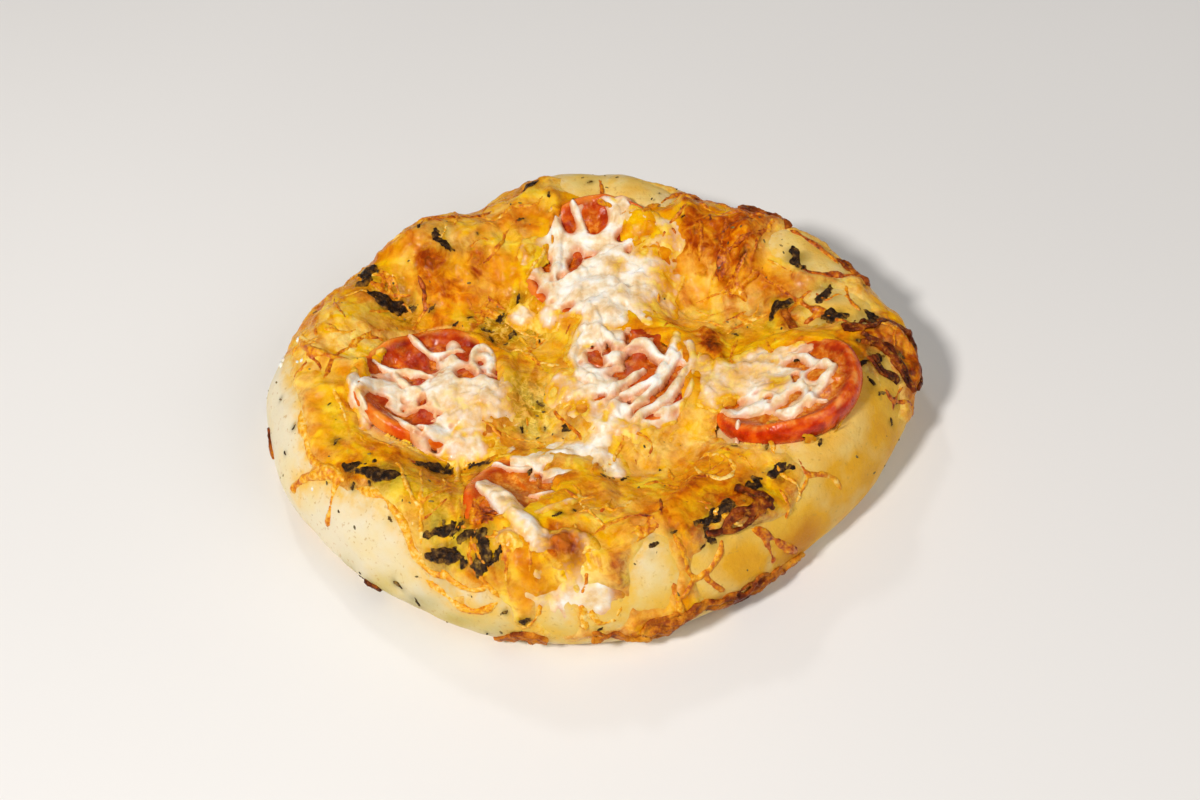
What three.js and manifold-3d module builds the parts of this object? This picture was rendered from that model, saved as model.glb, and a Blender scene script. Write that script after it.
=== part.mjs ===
// A round focaccia, baked with tomato slices, melted cheese and herb leaves on a dimpled dough.
// Millimetres, +Z up. The origin is the middle of the flat base that the loaf rests on.
// +X runs along the longer side of the loaf, and -Y is its front.
import * as THREE from "three";
import { mergeVertices } from "three/addons/utils/BufferGeometryUtils.js";
import Module from "manifold-3d";

const wasm = await Module();
wasm.setup();

// Plan of the loaf: a mean radius with slow lobes, and pinches in the rim (a bulge where negative).
const MEAN_RADIUS = 91.4;
const LOBES = [
  { waves: 2, swell: 5.3, turn: 8 },
  { waves: 3, swell: 0.7, turn: -31 },
  { waves: 4, swell: 3.1, turn: -3 },
  { waves: 5, swell: 0.6, turn: 68 },
];
const PINCHES = [
  { at: 112, width: 8, depth: 3.5 },
  { at: 55, width: 12, depth: 2.5 },
  { at: 174, width: 8, depth: -2 },
];

// Section of the loaf: a foot, a rounded side, a puffed rim and a shallow hollow.
const BASE_INSET = 7;
const WIDEST_HEIGHT = 10;
const CREST_INSET = 20;
const CREST_HEIGHT = 30;
const HOLLOW_HEIGHT = 22;
const HOLLOW_RUN = 26;
const RELIEF_INSET = 10;

// Puffed bubbles of the rim and ridges of the crust.
const BUBBLES = [
  { x: -1, y: 77, spread: 12, rise: 2.5 },
  { x: 22, y: 73, spread: 12, rise: 3.2 },
  { x: 75, y: 41, spread: 14, rise: 3.6 },
  { x: 49, y: 52, spread: 13, rise: 3 },
  { x: 51, y: 36, spread: 9, rise: 3 },
  { x: 79, y: -34, spread: 20, rise: 3 },
  { x: 54, y: -62, spread: 18, rise: 2.5 },
  { x: 42, y: -75, spread: 12, rise: 2 },
  { x: 14, y: -74, spread: 10, rise: 4 },
  { x: 2, y: -81, spread: 8, rise: 2 },
  { x: -56, y: -57, spread: 22, rise: 4 },
  { x: -84, y: -13, spread: 17, rise: 2 },
  { x: -76, y: 22, spread: 16, rise: 2 },
  { x: -46, y: 58, spread: 14, rise: 5 },
];

// Dimples that fingers pressed into the dough.
const DIMPLES = [
  { x: -56, y: 30, spread: 12, depth: 6 },
  { x: -18, y: 15, spread: 14, depth: 5 },
  { x: -14, y: -23, spread: 12, depth: 4 },
  { x: 36, y: 22, spread: 13, depth: 4 },
  { x: -42, y: -38, spread: 10, depth: 5 },
  { x: -40, y: -62, spread: 9, depth: 4 },
  { x: 24, y: -42, spread: 14, depth: 3 },
  { x: 46, y: -54, spread: 10, depth: 3 },
];

// Clearances and thicknesses of what lies on the dough.
const GAP = 0.35;
const SHEET_THICKNESS = 1.2;
const SLICE_THICKNESS = 5;
const LEAF_THICKNESS = 0.8;
const LEAF_CLEARANCE = 0.9;
const SLICE_CLEARANCE = 1.6;
const SINK = 0.8;
const STRAND_RADIUS = 2.2;
const STRAND_SCATTER = 0.9;
const STRAND_OVERHANG = 0.6;
const POOL_HEIGHT = 3.6;

// The melted sheet: how far its edge stays inside the outline, by direction in degrees.
const SHEET_EDGE = [
  { at: 0, inset: 4 },
  { at: 26, inset: 17 },
  { at: 50, inset: 4 },
  { at: 80, inset: 19 },
  { at: 108, inset: 6 },
  { at: 145, inset: 6 },
  { at: 178, inset: 14 },
  { at: 222, inset: 19 },
  { at: 258, inset: 8 },
  { at: 290, inset: 7 },
  { at: 315, inset: 23 },
  { at: 340, inset: 24 },
];

// Browned strands that run from the sheet over the bare rim, as [direction, inset] pairs.
const RIM_STRANDS = [
  { from: [176, 20], to: [170, 5], bend: 3 },
  { from: [200, 20], to: [205, 5], bend: -3 },
  { from: [218, 24], to: [223, 4], bend: 2 },
  { from: [226, 24], to: [246, 6], bend: -4 },
  { from: [300, 22], to: [307, 4], bend: 3 },
  { from: [312, 28], to: [302, 7], bend: -3 },
  { from: [316, 30], to: [324, 12], bend: 4 },
  { from: [352, 14], to: [345, 4], bend: 2 },
];
const RIM_STRAND_WIDTH = 2.4;

// Crisp cheese that ran down the side and set at the foot: direction, distance past the foot, size.
const CRISPS = [
  { at: 252, out: 3, length: 22, width: 8, height: 5 },
  { at: 296, out: 3, length: 30, width: 7, height: 6 },
  { at: 231, out: 2, length: 10, width: 6, height: 4 },
  { at: 186, out: 3, length: 11, width: 6, height: 5 },
];

// Tomato slices, each with its melted cheese: a pool, and strands that lie across it round one heading.
const SLICES = [
  {
    name: "back",
    x: 6,
    y: 41,
    radius: 24,
    pool: { x: 10, y: 36, length: 34, width: 30 },
    strands: { heading: 165, spread: 110, count: 5, length: 42 },
  },
  {
    name: "left",
    x: -46,
    y: -4,
    radius: 24,
    pool: { x: -41, y: -6, length: 32, width: 34 },
    strands: { heading: 125, spread: 120, count: 5, length: 42 },
  },
  {
    name: "middle",
    x: 14,
    y: -7,
    radius: 22.5,
    pool: { x: 11, y: -3, length: 30, width: 24 },
    strands: { heading: 216, spread: 60, count: 5, length: 42 },
  },
  {
    name: "right",
    x: 58,
    y: -22,
    radius: 22,
    pool: { x: 56, y: -17, length: 28, width: 24 },
    strands: { heading: 210, spread: 90, count: 5, length: 40 },
  },
  {
    name: "front",
    x: -17,
    y: -54,
    radius: 21,
    pool: { x: -16, y: -57, length: 24, width: 30 },
    strands: { heading: 300, spread: 80, count: 5, length: 40 },
  },
];

// Dark wilted herb leaves.
const LEAVES = [
  { x: -67, y: 43, length: 10, width: 7, turn: 60 },
  { x: -60, y: 33, length: 14, width: 6, turn: 150 },
  { x: -42, y: 50, length: 10, width: 3.5, turn: 120 },
  { x: -68, y: -37, length: 10, width: 5, turn: 160 },
  { x: -60, y: -43, length: 12, width: 5, turn: 165 },
  { x: -46, y: -36, length: 11, width: 6, turn: 20 },
  { x: -33, y: -34, length: 8, width: 4, turn: 175 },
  { x: -44, y: -61, length: 10, width: 6, turn: 30 },
  { x: -42, y: -69, length: 13, width: 6, turn: 150 },
  { x: 33, y: -66, length: 12, width: 6, turn: 20 },
  { x: 43, y: -58, length: 11, width: 6, turn: 40 },
  { x: 52, y: -52, length: 9, width: 5, turn: 10 },
  { x: 62, y: 13, length: 13, width: 5, turn: 40 },
  { x: 69, y: 29, length: 9, width: 4.5, turn: 110 },
  { x: 76, y: 15, length: 9, width: 5, turn: 60 },
  { x: 77, y: 4, length: 10, width: 6, turn: 170 },
  { x: 88, y: 4, length: 9, width: 5, turn: 110 },
  { x: 86, y: -14, length: 10, width: 4, turn: 30 },
  { x: -13, y: 73, length: 8, width: 4, turn: 20 },
];

// How finely each kind of surface is split.
const LOAF_AROUND = 64;
const SIDE_STEPS = 3;
const SHOULDER_STEPS = 5;
const HOLLOW_STEPS = 7;
const SLICE_AROUND = 16;
const SHEET_EDGE_POINTS = 80;
const BAND_STEPS = 3;
const STRAND_STEPS = 4;
const STRAND_SIDES = 5;
const POOL_AROUND = 10;
const POOL_RINGS = 4;
const LEAF_POINTS = 12;

const CRUST = new THREE.MeshStandardMaterial({ color: 0xe3bd62, roughness: 0.6 });
const GOLDEN = new THREE.MeshStandardMaterial({ color: 0xdd9a2c, roughness: 0.4 });
const TOMATO = new THREE.MeshStandardMaterial({ color: 0xc8421c, roughness: 0.35 });
const MELTED = new THREE.MeshStandardMaterial({ color: 0xf1e3c8, roughness: 0.3 });
const LEAF = new THREE.MeshStandardMaterial({ color: 0x2b2a1c, roughness: 0.7 });

const radians = THREE.MathUtils.degToRad;
const smoothstep = THREE.MathUtils.smoothstep;

// Seeded draws from 0 to 1.
const SEED = 17;
THREE.MathUtils.seededRandom(SEED);
const random = () => THREE.MathUtils.seededRandom();

// The bell-shaped share of a bump or a pinch at a distance from its middle.
function bell(distance, spread) {
  return Math.exp(-((distance / spread) ** 2));
}

// The loaf's widest radius in a direction.
function outlineRadius(angle) {
  let radius = MEAN_RADIUS;
  for (const { waves, swell, turn } of LOBES) radius += swell * Math.cos(waves * angle - radians(turn));
  for (const { at, width, depth } of PINCHES) {
    const away = Math.atan2(Math.sin(angle - radians(at)), Math.cos(angle - radians(at)));
    radius -= depth * bell(away, radians(width));
  }
  return radius;
}

// The point that lies a distance inside the outline, in a direction given in degrees.
function planPoint(degrees, inset) {
  const angle = radians(degrees);
  const radius = outlineRadius(angle) - inset;
  return new THREE.Vector2(radius * Math.cos(angle), radius * Math.sin(angle));
}

// Height of the bare dough over a point of the plan.
function doughHeight(x, y) {
  const inset = Math.max(0, outlineRadius(Math.atan2(y, x)) - Math.hypot(x, y));
  const shoulder = 1 - Math.min(1, inset / CREST_INSET);
  let height = WIDEST_HEIGHT + (CREST_HEIGHT - WIDEST_HEIGHT) * Math.sqrt(1 - shoulder ** 2);
  height -= (CREST_HEIGHT - HOLLOW_HEIGHT) * smoothstep(inset - CREST_INSET, 0, HOLLOW_RUN);
  let relief = 0;
  for (const b of BUBBLES) relief += b.rise * bell(Math.hypot(x - b.x, y - b.y), b.spread);
  for (const d of DIMPLES) relief -= d.depth * bell(Math.hypot(x - d.x, y - d.y), d.spread);
  return height + relief * smoothstep(inset, 0, RELIEF_INSET);
}

// Moves every vertex of a geometry by a rule that changes the point in place.
function warp(geometry, rule) {
  const position = geometry.getAttribute("position");
  const point = new THREE.Vector3();
  for (let i = 0; i < position.count; i++) {
    point.fromBufferAttribute(position, i);
    rule(point);
    position.setXYZ(i, point.x, point.y, point.z);
  }
  return geometry;
}

// A lathe with its axis along +Z.
function lathe(profile, around) {
  return new THREE.LatheGeometry(profile, around).rotateX(Math.PI / 2);
}

// A closed geometry as a solid that can be joined and cut.
function solidOf(geometry) {
  const bare = new THREE.BufferGeometry();
  bare.setAttribute("position", geometry.getAttribute("position"));
  bare.setIndex(geometry.getIndex());
  const merged = mergeVertices(bare, 1e-3);
  const triVerts = new Uint32Array(merged.index.array);
  const vertProperties = merged.attributes.position.array;
  return new wasm.Manifold(new wasm.Mesh({ numProp: 3, vertProperties, triVerts }));
}

function joined(solids) {
  return solids.reduce((whole, next) => whole.add(next));
}

// The largest body of a solid: a cut can leave loose scraps beside it.
function largestBody(solid) {
  return solid.decompose().reduce((best, body) => (body.volume() > best.volume() ? body : best));
}

function geometryOf(solid) {
  const { numProp, numVert, vertProperties, triVerts } = solid.getMesh();
  const points = new Float32Array(numVert * 3);
  for (let i = 0; i < numVert; i++) points.set(vertProperties.subarray(i * numProp, i * numProp + 3), i * 3);
  const geometry = new THREE.BufferGeometry();
  geometry.setAttribute("position", new THREE.BufferAttribute(points, 3));
  geometry.setIndex(new THREE.BufferAttribute(triVerts, 1));
  geometry.computeVertexNormals();
  return geometry;
}

// Dough body, turned on a lathe and warped to the plan and the relief. In the lathe's profile the first
// number is a share of the radius. The second is -1 at the foot, 0 at the widest line and 1 on the top.
function loafGeometry() {
  const profile = [new THREE.Vector2(0, -1)];
  for (let i = 0; i <= SIDE_STEPS; i++) {
    const rise = ((i / SIDE_STEPS - 1) * Math.PI) / 2;
    profile.push(new THREE.Vector2(1, Math.sin(rise)));
  }
  for (let i = 1; i <= SHOULDER_STEPS; i++) {
    const turn = ((i / SHOULDER_STEPS) * Math.PI) / 2;
    profile.push(new THREE.Vector2(1 - (CREST_INSET * (1 - Math.cos(turn))) / MEAN_RADIUS, 1));
  }
  const crestShare = 1 - CREST_INSET / MEAN_RADIUS;
  for (let i = 1; i <= HOLLOW_STEPS; i++) {
    profile.push(new THREE.Vector2(crestShare * (1 - i / HOLLOW_STEPS), 1));
  }
  return warp(lathe(profile, LOAF_AROUND), (point) => {
    const share = Math.hypot(point.x, point.y);
    const angle = Math.atan2(point.y, point.x);
    const level = point.z;
    const undercut = level > 0 ? 0 : BASE_INSET * (1 - Math.sqrt(1 - level ** 2));
    const radius = share * (outlineRadius(angle) - undercut);
    point.set(radius * Math.cos(angle), radius * Math.sin(angle), WIDEST_HEIGHT * (1 + Math.min(0, level)));
    if (level > 0) point.z = doughHeight(point.x, point.y);
  });
}

const loaf = loafGeometry();

// One crisp flake of run-off cheese, flat on the base plane and reaching into the side of the loaf.
function crispGeometry({ at, out, length, width, height }) {
  const foot = planPoint(at, BASE_INSET - out);
  const flake = new THREE.SphereGeometry(0.5, 12, 8).rotateX(Math.PI / 2);
  flake.scale(width, length, 2 * height);
  warp(flake, (point) => {
    point.z = Math.max(0, point.z);
  });
  return flake.rotateZ(radians(at)).translate(foot.x, foot.y, 0);
}

// A tomato slice: a disc with a raised skin ring, sagging onto the dough. grow swells it for clearances.
function sliceGeometry({ x, y, radius }, grow = 0) {
  const edge = radius + grow;
  const top = SLICE_THICKNESS + grow;
  const profile = [
    [0, -SINK],
    [edge - 0.8, -SINK],
    [edge, 0.3 * top],
    [edge - 0.4, 0.75 * top],
    [edge - 2, top],
    [edge - 6, 0.8 * top],
    [0, 0.75 * top],
  ].map(([across, up]) => new THREE.Vector2(across, up));
  return warp(lathe(profile, SLICE_AROUND), (point) => {
    const ragged = 1 + 0.025 * Math.sin(3 * Math.atan2(point.y, point.x) + x);
    point.x = x + ragged * point.x;
    point.y = y + ragged * point.y;
    point.z += GAP + doughHeight(point.x, point.y);
  });
}

// Height of what melted cheese lies on: a slice where there is one, else the sheet over the dough.
function cheeseSeat(x, y, slice) {
  const onSlice = Math.hypot(x - slice.x, y - slice.y) < slice.radius - 1;
  return doughHeight(x, y) + GAP + (onSlice ? 0.8 * SLICE_THICKNESS : SHEET_THICKNESS) + GAP;
}

// A strand laid across a point of the plan, sinking a little into its seat.
function strandGeometry(slice, x, y, heading, length) {
  const path = [];
  for (let i = 0; i <= STRAND_STEPS; i++) {
    const along = length * (i / STRAND_STEPS - 0.5);
    const sway = 0.1 * length * Math.sin((Math.PI * i) / STRAND_STEPS);
    const px = x + along * Math.cos(heading) - sway * Math.sin(heading);
    const py = y + along * Math.sin(heading) + sway * Math.cos(heading);
    path.push(new THREE.Vector3(px, py, cheeseSeat(px, py, slice) + 0.3 * STRAND_RADIUS));
  }
  const section = [];
  for (let i = 0; i < STRAND_SIDES; i++) {
    const angle = (2 * Math.PI * i) / STRAND_SIDES;
    section.push(new THREE.Vector2(STRAND_RADIUS * Math.cos(angle), STRAND_RADIUS * Math.sin(angle)));
  }
  return new THREE.ExtrudeGeometry(new THREE.Shape(section), {
    steps: STRAND_STEPS,
    extrudePath: new THREE.CatmullRomCurve3(path),
    bevelEnabled: false,
  });
}

// A flat blob of melted cheese that sags over its seat.
function poolGeometry(slice) {
  const { x, y, length, width } = slice.pool;
  const pool = new THREE.SphereGeometry(0.5, POOL_AROUND, POOL_RINGS).rotateX(Math.PI / 2);
  pool.scale(length, width, POOL_HEIGHT);
  return warp(pool, (point) => {
    point.x += x;
    point.y += y;
    point.z += cheeseSeat(point.x, point.y, slice);
  });
}

// A plan shape drawn up through the whole loaf.
function prism(shape, curveSegments) {
  const settings = { depth: 2 * CREST_HEIGHT, bevelEnabled: false, curveSegments };
  return solidOf(new THREE.ExtrudeGeometry(shape, settings));
}

// A round prism over a slice.
function slicePrism({ x, y, radius }, margin) {
  const circle = new THREE.Shape().absarc(x, y, radius + margin, 0, 2 * Math.PI);
  return prism(circle, SLICE_AROUND / 2);
}

// Pool and strands as one solid, trimmed to its slice. The strands cross the pool at seeded places.
function webSolid(slice) {
  const pieces = [solidOf(poolGeometry(slice))];
  const { heading, spread, count, length } = slice.strands;
  for (let i = 0; i < count; i++) {
    const turn = radians(heading + spread * ((i + 0.5) / count - 0.5));
    const x = slice.pool.x + STRAND_SCATTER * slice.pool.length * (random() - 0.5);
    const y = slice.pool.y + STRAND_SCATTER * slice.pool.width * (random() - 0.5);
    pieces.push(solidOf(strandGeometry(slice, x, y, turn, length * (1 - 0.25 * (i % 2)))));
  }
  return joined(pieces).intersect(slicePrism(slice, STRAND_OVERHANG));
}

// The melted sheet's edge as a closed curve in the plan.
const sheetEdge = new THREE.CatmullRomCurve3(
  SHEET_EDGE.map(({ at, inset }) => {
    const point = planPoint(at, inset);
    return new THREE.Vector3(point.x, point.y, 0);
  }),
  true,
);

// A curved band in the plan, from one [direction, inset] to another.
function bandShape({ from, to, bend }) {
  const start = planPoint(...from);
  const end = planPoint(...to);
  const across = end.clone().sub(start).normalize().rotateAround(new THREE.Vector2(), Math.PI / 2);
  const half = across.clone().multiplyScalar(RIM_STRAND_WIDTH / 2);
  const middle = start.clone().lerp(end, 0.5).addScaledVector(across, bend);
  const [near, far] = [middle.clone().sub(half), middle.clone().add(half)];
  return new THREE.Shape()
    .moveTo(start.x - half.x, start.y - half.y)
    .quadraticCurveTo(near.x, near.y, end.x - half.x, end.y - half.y)
    .lineTo(end.x + half.x, end.y + half.y)
    .quadraticCurveTo(far.x, far.y, start.x + half.x, start.y + half.y)
    .closePath();
}

// The melted sheet: the skin between two lifted copies of the loaf, trimmed to its edge and its strands.
function sheetSolid() {
  const outer = solidOf(loaf.clone().translate(0, 0, GAP + SHEET_THICKNESS));
  const inner = solidOf(loaf.clone().translate(0, 0, GAP));
  const edge = new THREE.Shape(sheetEdge.getSpacedPoints(SHEET_EDGE_POINTS));
  let plan = joined([prism(edge), ...RIM_STRANDS.map((strand) => prism(bandShape(strand), BAND_STEPS))]);
  for (const slice of SLICES) plan = plan.subtract(slicePrism(slice, SLICE_CLEARANCE));
  return largestBody(outer.subtract(inner).intersect(plan));
}

// Height of the finished loaf's top over a point of the plan.
const DOWN = new THREE.Vector3(0, 0, -1);
function loafTop(x, y) {
  const ray = new THREE.Raycaster(new THREE.Vector3(x, y, 2 * CREST_HEIGHT), DOWN);
  return ray.intersectObject(new THREE.Mesh(loaf, CRUST))[0].point.z;
}

// A ragged leaf outline, bent over what it lies on.
function leafGeometry({ x, y, length, width, turn }) {
  const outline = [];
  for (let i = 0; i < LEAF_POINTS; i++) {
    const angle = (2 * Math.PI * i) / LEAF_POINTS;
    const ragged = 1 + 0.18 * Math.sin(5 * angle + x + y);
    const across = 0.5 * width * ragged * Math.sin(angle);
    outline.push(new THREE.Vector2(0.5 * length * ragged * Math.cos(angle), across));
  }
  const leaf = new THREE.ExtrudeGeometry(new THREE.Shape(outline), { depth: LEAF_THICKNESS, bevelEnabled: false });
  leaf.rotateZ(radians(turn)).translate(x, y, 0);
  const seat = GAP + SHEET_THICKNESS + LEAF_CLEARANCE;
  return warp(leaf, (point) => {
    const curl = 0.4 * (1 + Math.sin(0.9 * (point.x - x)) * Math.cos(0.7 * (point.y - y)));
    point.z += loafTop(point.x, point.y) + seat + curl;
  });
}

function named(name, geometry, material) {
  const mesh = new THREE.Mesh(geometry, material.clone());
  mesh.name = name;
  return mesh;
}

const focaccia = new THREE.Group();
const body = joined([solidOf(loaf), ...CRISPS.map((crisp) => solidOf(crispGeometry(crisp)))]);
const clearOfLoaf = solidOf(loaf.clone().translate(0, 0, GAP));

focaccia.add(named("bread", geometryOf(body), CRUST));
focaccia.add(named("melted_cheese", geometryOf(sheetSolid()), GOLDEN));
for (const slice of SLICES) {
  const tomato = largestBody(solidOf(sliceGeometry(slice)).subtract(clearOfLoaf));
  const clearOfSlice = solidOf(sliceGeometry(slice, GAP));
  const web = largestBody(webSolid(slice).subtract(clearOfSlice));
  focaccia.add(named(`tomato_${slice.name}`, geometryOf(tomato), TOMATO));
  focaccia.add(named(`white_cheese_${slice.name}`, geometryOf(web), MELTED));
}
LEAVES.forEach((leaf, i) => {
  focaccia.add(named(`herb_leaf_${i + 1}`, leafGeometry(leaf), LEAF));
});

export default focaccia;
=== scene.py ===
import math

import bpy
import numpy as np
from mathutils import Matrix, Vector


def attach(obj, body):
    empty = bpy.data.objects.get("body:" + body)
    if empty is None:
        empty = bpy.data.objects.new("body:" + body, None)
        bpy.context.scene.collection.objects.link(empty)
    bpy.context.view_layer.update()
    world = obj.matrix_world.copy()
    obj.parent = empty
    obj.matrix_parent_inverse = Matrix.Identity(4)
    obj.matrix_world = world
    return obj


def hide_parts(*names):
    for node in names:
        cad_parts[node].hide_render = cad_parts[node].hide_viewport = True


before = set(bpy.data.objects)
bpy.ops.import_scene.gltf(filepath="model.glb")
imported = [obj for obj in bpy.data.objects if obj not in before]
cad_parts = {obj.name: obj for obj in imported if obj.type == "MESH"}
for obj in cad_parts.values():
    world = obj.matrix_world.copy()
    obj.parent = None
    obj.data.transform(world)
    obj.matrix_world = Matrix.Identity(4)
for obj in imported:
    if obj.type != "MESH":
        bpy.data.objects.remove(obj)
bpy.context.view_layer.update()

# All shapes are worked out in millimetres and go into the meshes in metres.
MM = 0.001

# Plan and section of the loaf, with the same values as its solid. Lobes: waves round the loaf, swell and turn.
# Pinches: direction, width and depth.
MEAN_RADIUS = 91.4
LOBES = ((2, 5.3, 8), (3, 0.7, -31), (4, 3.1, -3), (5, 0.6, 68))
PINCHES = ((112, 8, 3.5), (55, 12, 2.5), (174, 8, -2))
FOOT_INSET = 7.0
WIDEST = 10.0
SHOULDER = 20.0
CREST = 30.0
HOLLOW = 22.0
HOLLOW_RUN = 26.0
RELIEF_INSET = 10.0
SHOULDER_ARC = SHOULDER * math.pi / 2
FOOT_REACH = 8.6
FOOT_ARC = FOOT_REACH * math.pi / 2
# x, y, spread and rise of the bubbles, and the same with a fall for the finger dimples.
BUBBLES = (
    (-1, 77, 12, 2.5), (22, 73, 12, 3.2), (75, 41, 14, 3.6), (49, 52, 13, 3), (51, 36, 9, 3), (79, -34, 20, 3),
    (54, -62, 18, 2.5), (42, -75, 12, 2), (14, -74, 10, 4), (2, -81, 8, 2), (-56, -57, 22, 4), (-84, -13, 17, 2),
    (-76, 22, 16, 2), (-46, 58, 14, 5),
)
DIMPLES = (
    (-56, 30, 12, 6), (-18, 15, 14, 5), (-14, -23, 12, 4), (36, 22, 13, 4), (-42, -38, 10, 5), (-40, -62, 9, 4),
    (24, -42, 14, 3), (46, -54, 10, 3),
)
# Tomato slices: x, y, radius, and the direction and height of a lifted part of the rim.
SLICES = {
    "back": (6, 41, 24, 100, 0.5),
    "left": (-46, -4, 24, 230, 1.0),
    "middle": (14, -7, 22.5, 300, 0.3),
    "right": (58, -22, 22, 320, 1.6),
    "front": (-17, -54, 21, 120, 0.0),
}
SLICE_THICKNESS = 5.0
GAP = 0.35
# Herb leaves: x, y, length, width and turn.
LEAVES = (
    (-67, 43, 10, 7, 60), (-60, 33, 14, 6, 150), (-42, 50, 10, 3.5, 120), (-68, -37, 10, 5, 160),
    (-60, -43, 12, 5, 165), (-46, -36, 11, 6, 20), (-33, -34, 8, 4, 175), (-44, -61, 10, 6, 30),
    (-42, -69, 13, 6, 150), (33, -66, 12, 6, 20), (43, -58, 11, 6, 40), (52, -52, 9, 5, 10), (62, 13, 13, 5, 40),
    (69, 29, 9, 4.5, 110), (76, 15, 9, 5, 60), (77, 4, 10, 6, 170), (88, 4, 9, 5, 110), (86, -14, 10, 4, 30),
    (-13, 73, 8, 4, 20),
)


def smooth(share):
    share = np.clip(share, 0, 1)
    return share * share * (3 - 2 * share)


def bell(distance, spread):
    return np.exp(-((distance / spread) ** 2))


def outline(angle):
    """The loaf's widest radius in a direction."""
    radius = np.full_like(angle, MEAN_RADIUS)
    for waves, swell, turn in LOBES:
        radius += swell * np.cos(waves * angle - math.radians(turn))
    for at, width, depth in PINCHES:
        away = angle - math.radians(at)
        away = np.arctan2(np.sin(away), np.cos(away))
        radius -= depth * bell(away, math.radians(width))
    return radius


def dough_height(x, y):
    """Height of the bare dough over a point of the plan."""
    inset = np.maximum(0, outline(np.arctan2(y, x)) - np.hypot(x, y))
    away = 1 - np.minimum(1, inset / SHOULDER)
    height = WIDEST + (CREST - WIDEST) * np.sqrt(1 - away**2)
    height -= (CREST - HOLLOW) * smooth((inset - SHOULDER) / HOLLOW_RUN)
    relief = np.zeros_like(height)
    for bx, by, spread, rise in BUBBLES:
        relief += rise * bell(np.hypot(x - bx, y - by), spread)
    for dx, dy, spread, fall in DIMPLES:
        relief -= fall * bell(np.hypot(x - dx, y - dy), spread)
    return height + relief * smooth(inset / RELIEF_INSET)


# Smooth seeded noise, from -1 to 1, in lumps of a given size. A seed shifts the place in one table.
NOISE_CELLS = 64
NOISE_SHIFT = np.array((17.31, 5.73, 11.97))
NOISE_TABLE = np.random.default_rng(11).random((NOISE_CELLS,) * 3) * 2 - 1


def noise(points, size, seed):
    at = points / size + NOISE_SHIFT * seed
    cell = np.floor(at).astype(int)
    part = smooth(at - cell)
    total = 0
    for i, j, k in np.ndindex(2, 2, 2):
        share = np.abs(1 - i - part[..., 0]) * np.abs(1 - j - part[..., 1]) * np.abs(1 - k - part[..., 2])
        corner = (cell + (i, j, k)) % NOISE_CELLS
        total = total + share * NOISE_TABLE[corner[..., 0], corner[..., 1], corner[..., 2]]
    return total


def waves(points, parts):
    """Noise of several sizes at once. Each part has a depth, a size and a seed."""
    return sum(depth * noise(points, size, seed) for depth, size, seed in parts)


def flat(u, v):
    return np.stack((u, v, np.zeros_like(u)), -1)


def flat_noise(u, v, size, seed):
    return noise(flat(u, v), size, seed)


def flat_waves(u, v, parts):
    return waves(flat(u, v), parts)


def domes(u, v, size, seed):
    """Rounded lumps from 0 to 1 with creases between them."""
    sway = [0.35 * size * flat_noise(u, v, 1.4 * size, seed + k) for k in (200, 201)]
    return np.minimum(1, 2.2 * np.abs(flat_noise(u + sway[0], v + sway[1], size, seed)))


# The skin of the loaf is unrolled: in the hollow its coordinates are those of the plan, and past the
# crest the distance from the middle runs on along the rounded side, down to the foot.
def bare_skin(u, v):
    angle = np.arctan2(v, u)
    run = np.hypot(u, v)
    crest = outline(angle) - SHOULDER
    over = np.clip((run - crest) / SHOULDER, 0, math.pi / 2)
    drop = np.clip((run - crest - SHOULDER_ARC) / FOOT_REACH, 0, math.pi / 2)
    out = np.where(run <= crest, run, crest + SHOULDER * np.sin(over)) - FOOT_INSET * (1 - np.cos(drop))
    x, y = out * np.cos(angle), out * np.sin(angle)
    z = np.where(drop > 0, WIDEST * (1 - np.sin(drop)), dough_height(x, y))
    return np.stack((x, y, z), -1)


def skin_end(angle):
    return outline(angle) - SHOULDER + SHOULDER_ARC + FOOT_ARC


# Depth, size and seed of the waves in the baked skin, and the height over which they set in above the table.
DOUGH_GRAIN = ((0.8, 17, 1), (0.4, 7, 2), (0.12, 2.6, 3))
GRAIN_RUN = 6
# Half the step over which the slope of the skin is taken.
SLOPE_STEP = 0.3
TINY = 1e-9


def unit(vectors):
    return vectors / np.maximum(np.linalg.norm(vectors, axis=-1, keepdims=True), TINY)


def dough_skin(u, v):
    """Points of the baked dough's skin, and the way out of it."""
    here = bare_skin(u, v)
    along = bare_skin(u + SLOPE_STEP, v) - bare_skin(u - SLOPE_STEP, v)
    across = bare_skin(u, v + SLOPE_STEP) - bare_skin(u, v - SLOPE_STEP)
    out = unit(np.cross(along, across))
    grain = waves(here, DOUGH_GRAIN) * smooth(here[..., 2] / GRAIN_RUN)
    skin = here + out * grain[..., None]
    skin[..., 2] = np.maximum(skin[..., 2], 0)
    return skin, out


def raised(u, v, height):
    """Points at a height over the skin."""
    skin, out = dough_skin(u, v)
    return skin + out * height[..., None]


def to_skin(x, y, z):
    """Skin coordinates of a point on the loaf."""
    angle = np.arctan2(y, x)
    radius = np.hypot(x, y)
    crest = outline(angle) - SHOULDER
    over = np.arcsin(np.clip((radius - crest) / SHOULDER, 0, 1))
    run = np.where(radius <= crest, radius, crest + SHOULDER * over)
    drop = np.arcsin(np.clip((WIDEST - z) / WIDEST, 0, 1))
    run = np.where(z < WIDEST, crest + SHOULDER_ARC + FOOT_REACH * drop, run)
    return np.stack((run * np.cos(angle), run * np.sin(angle)), -1)


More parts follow.
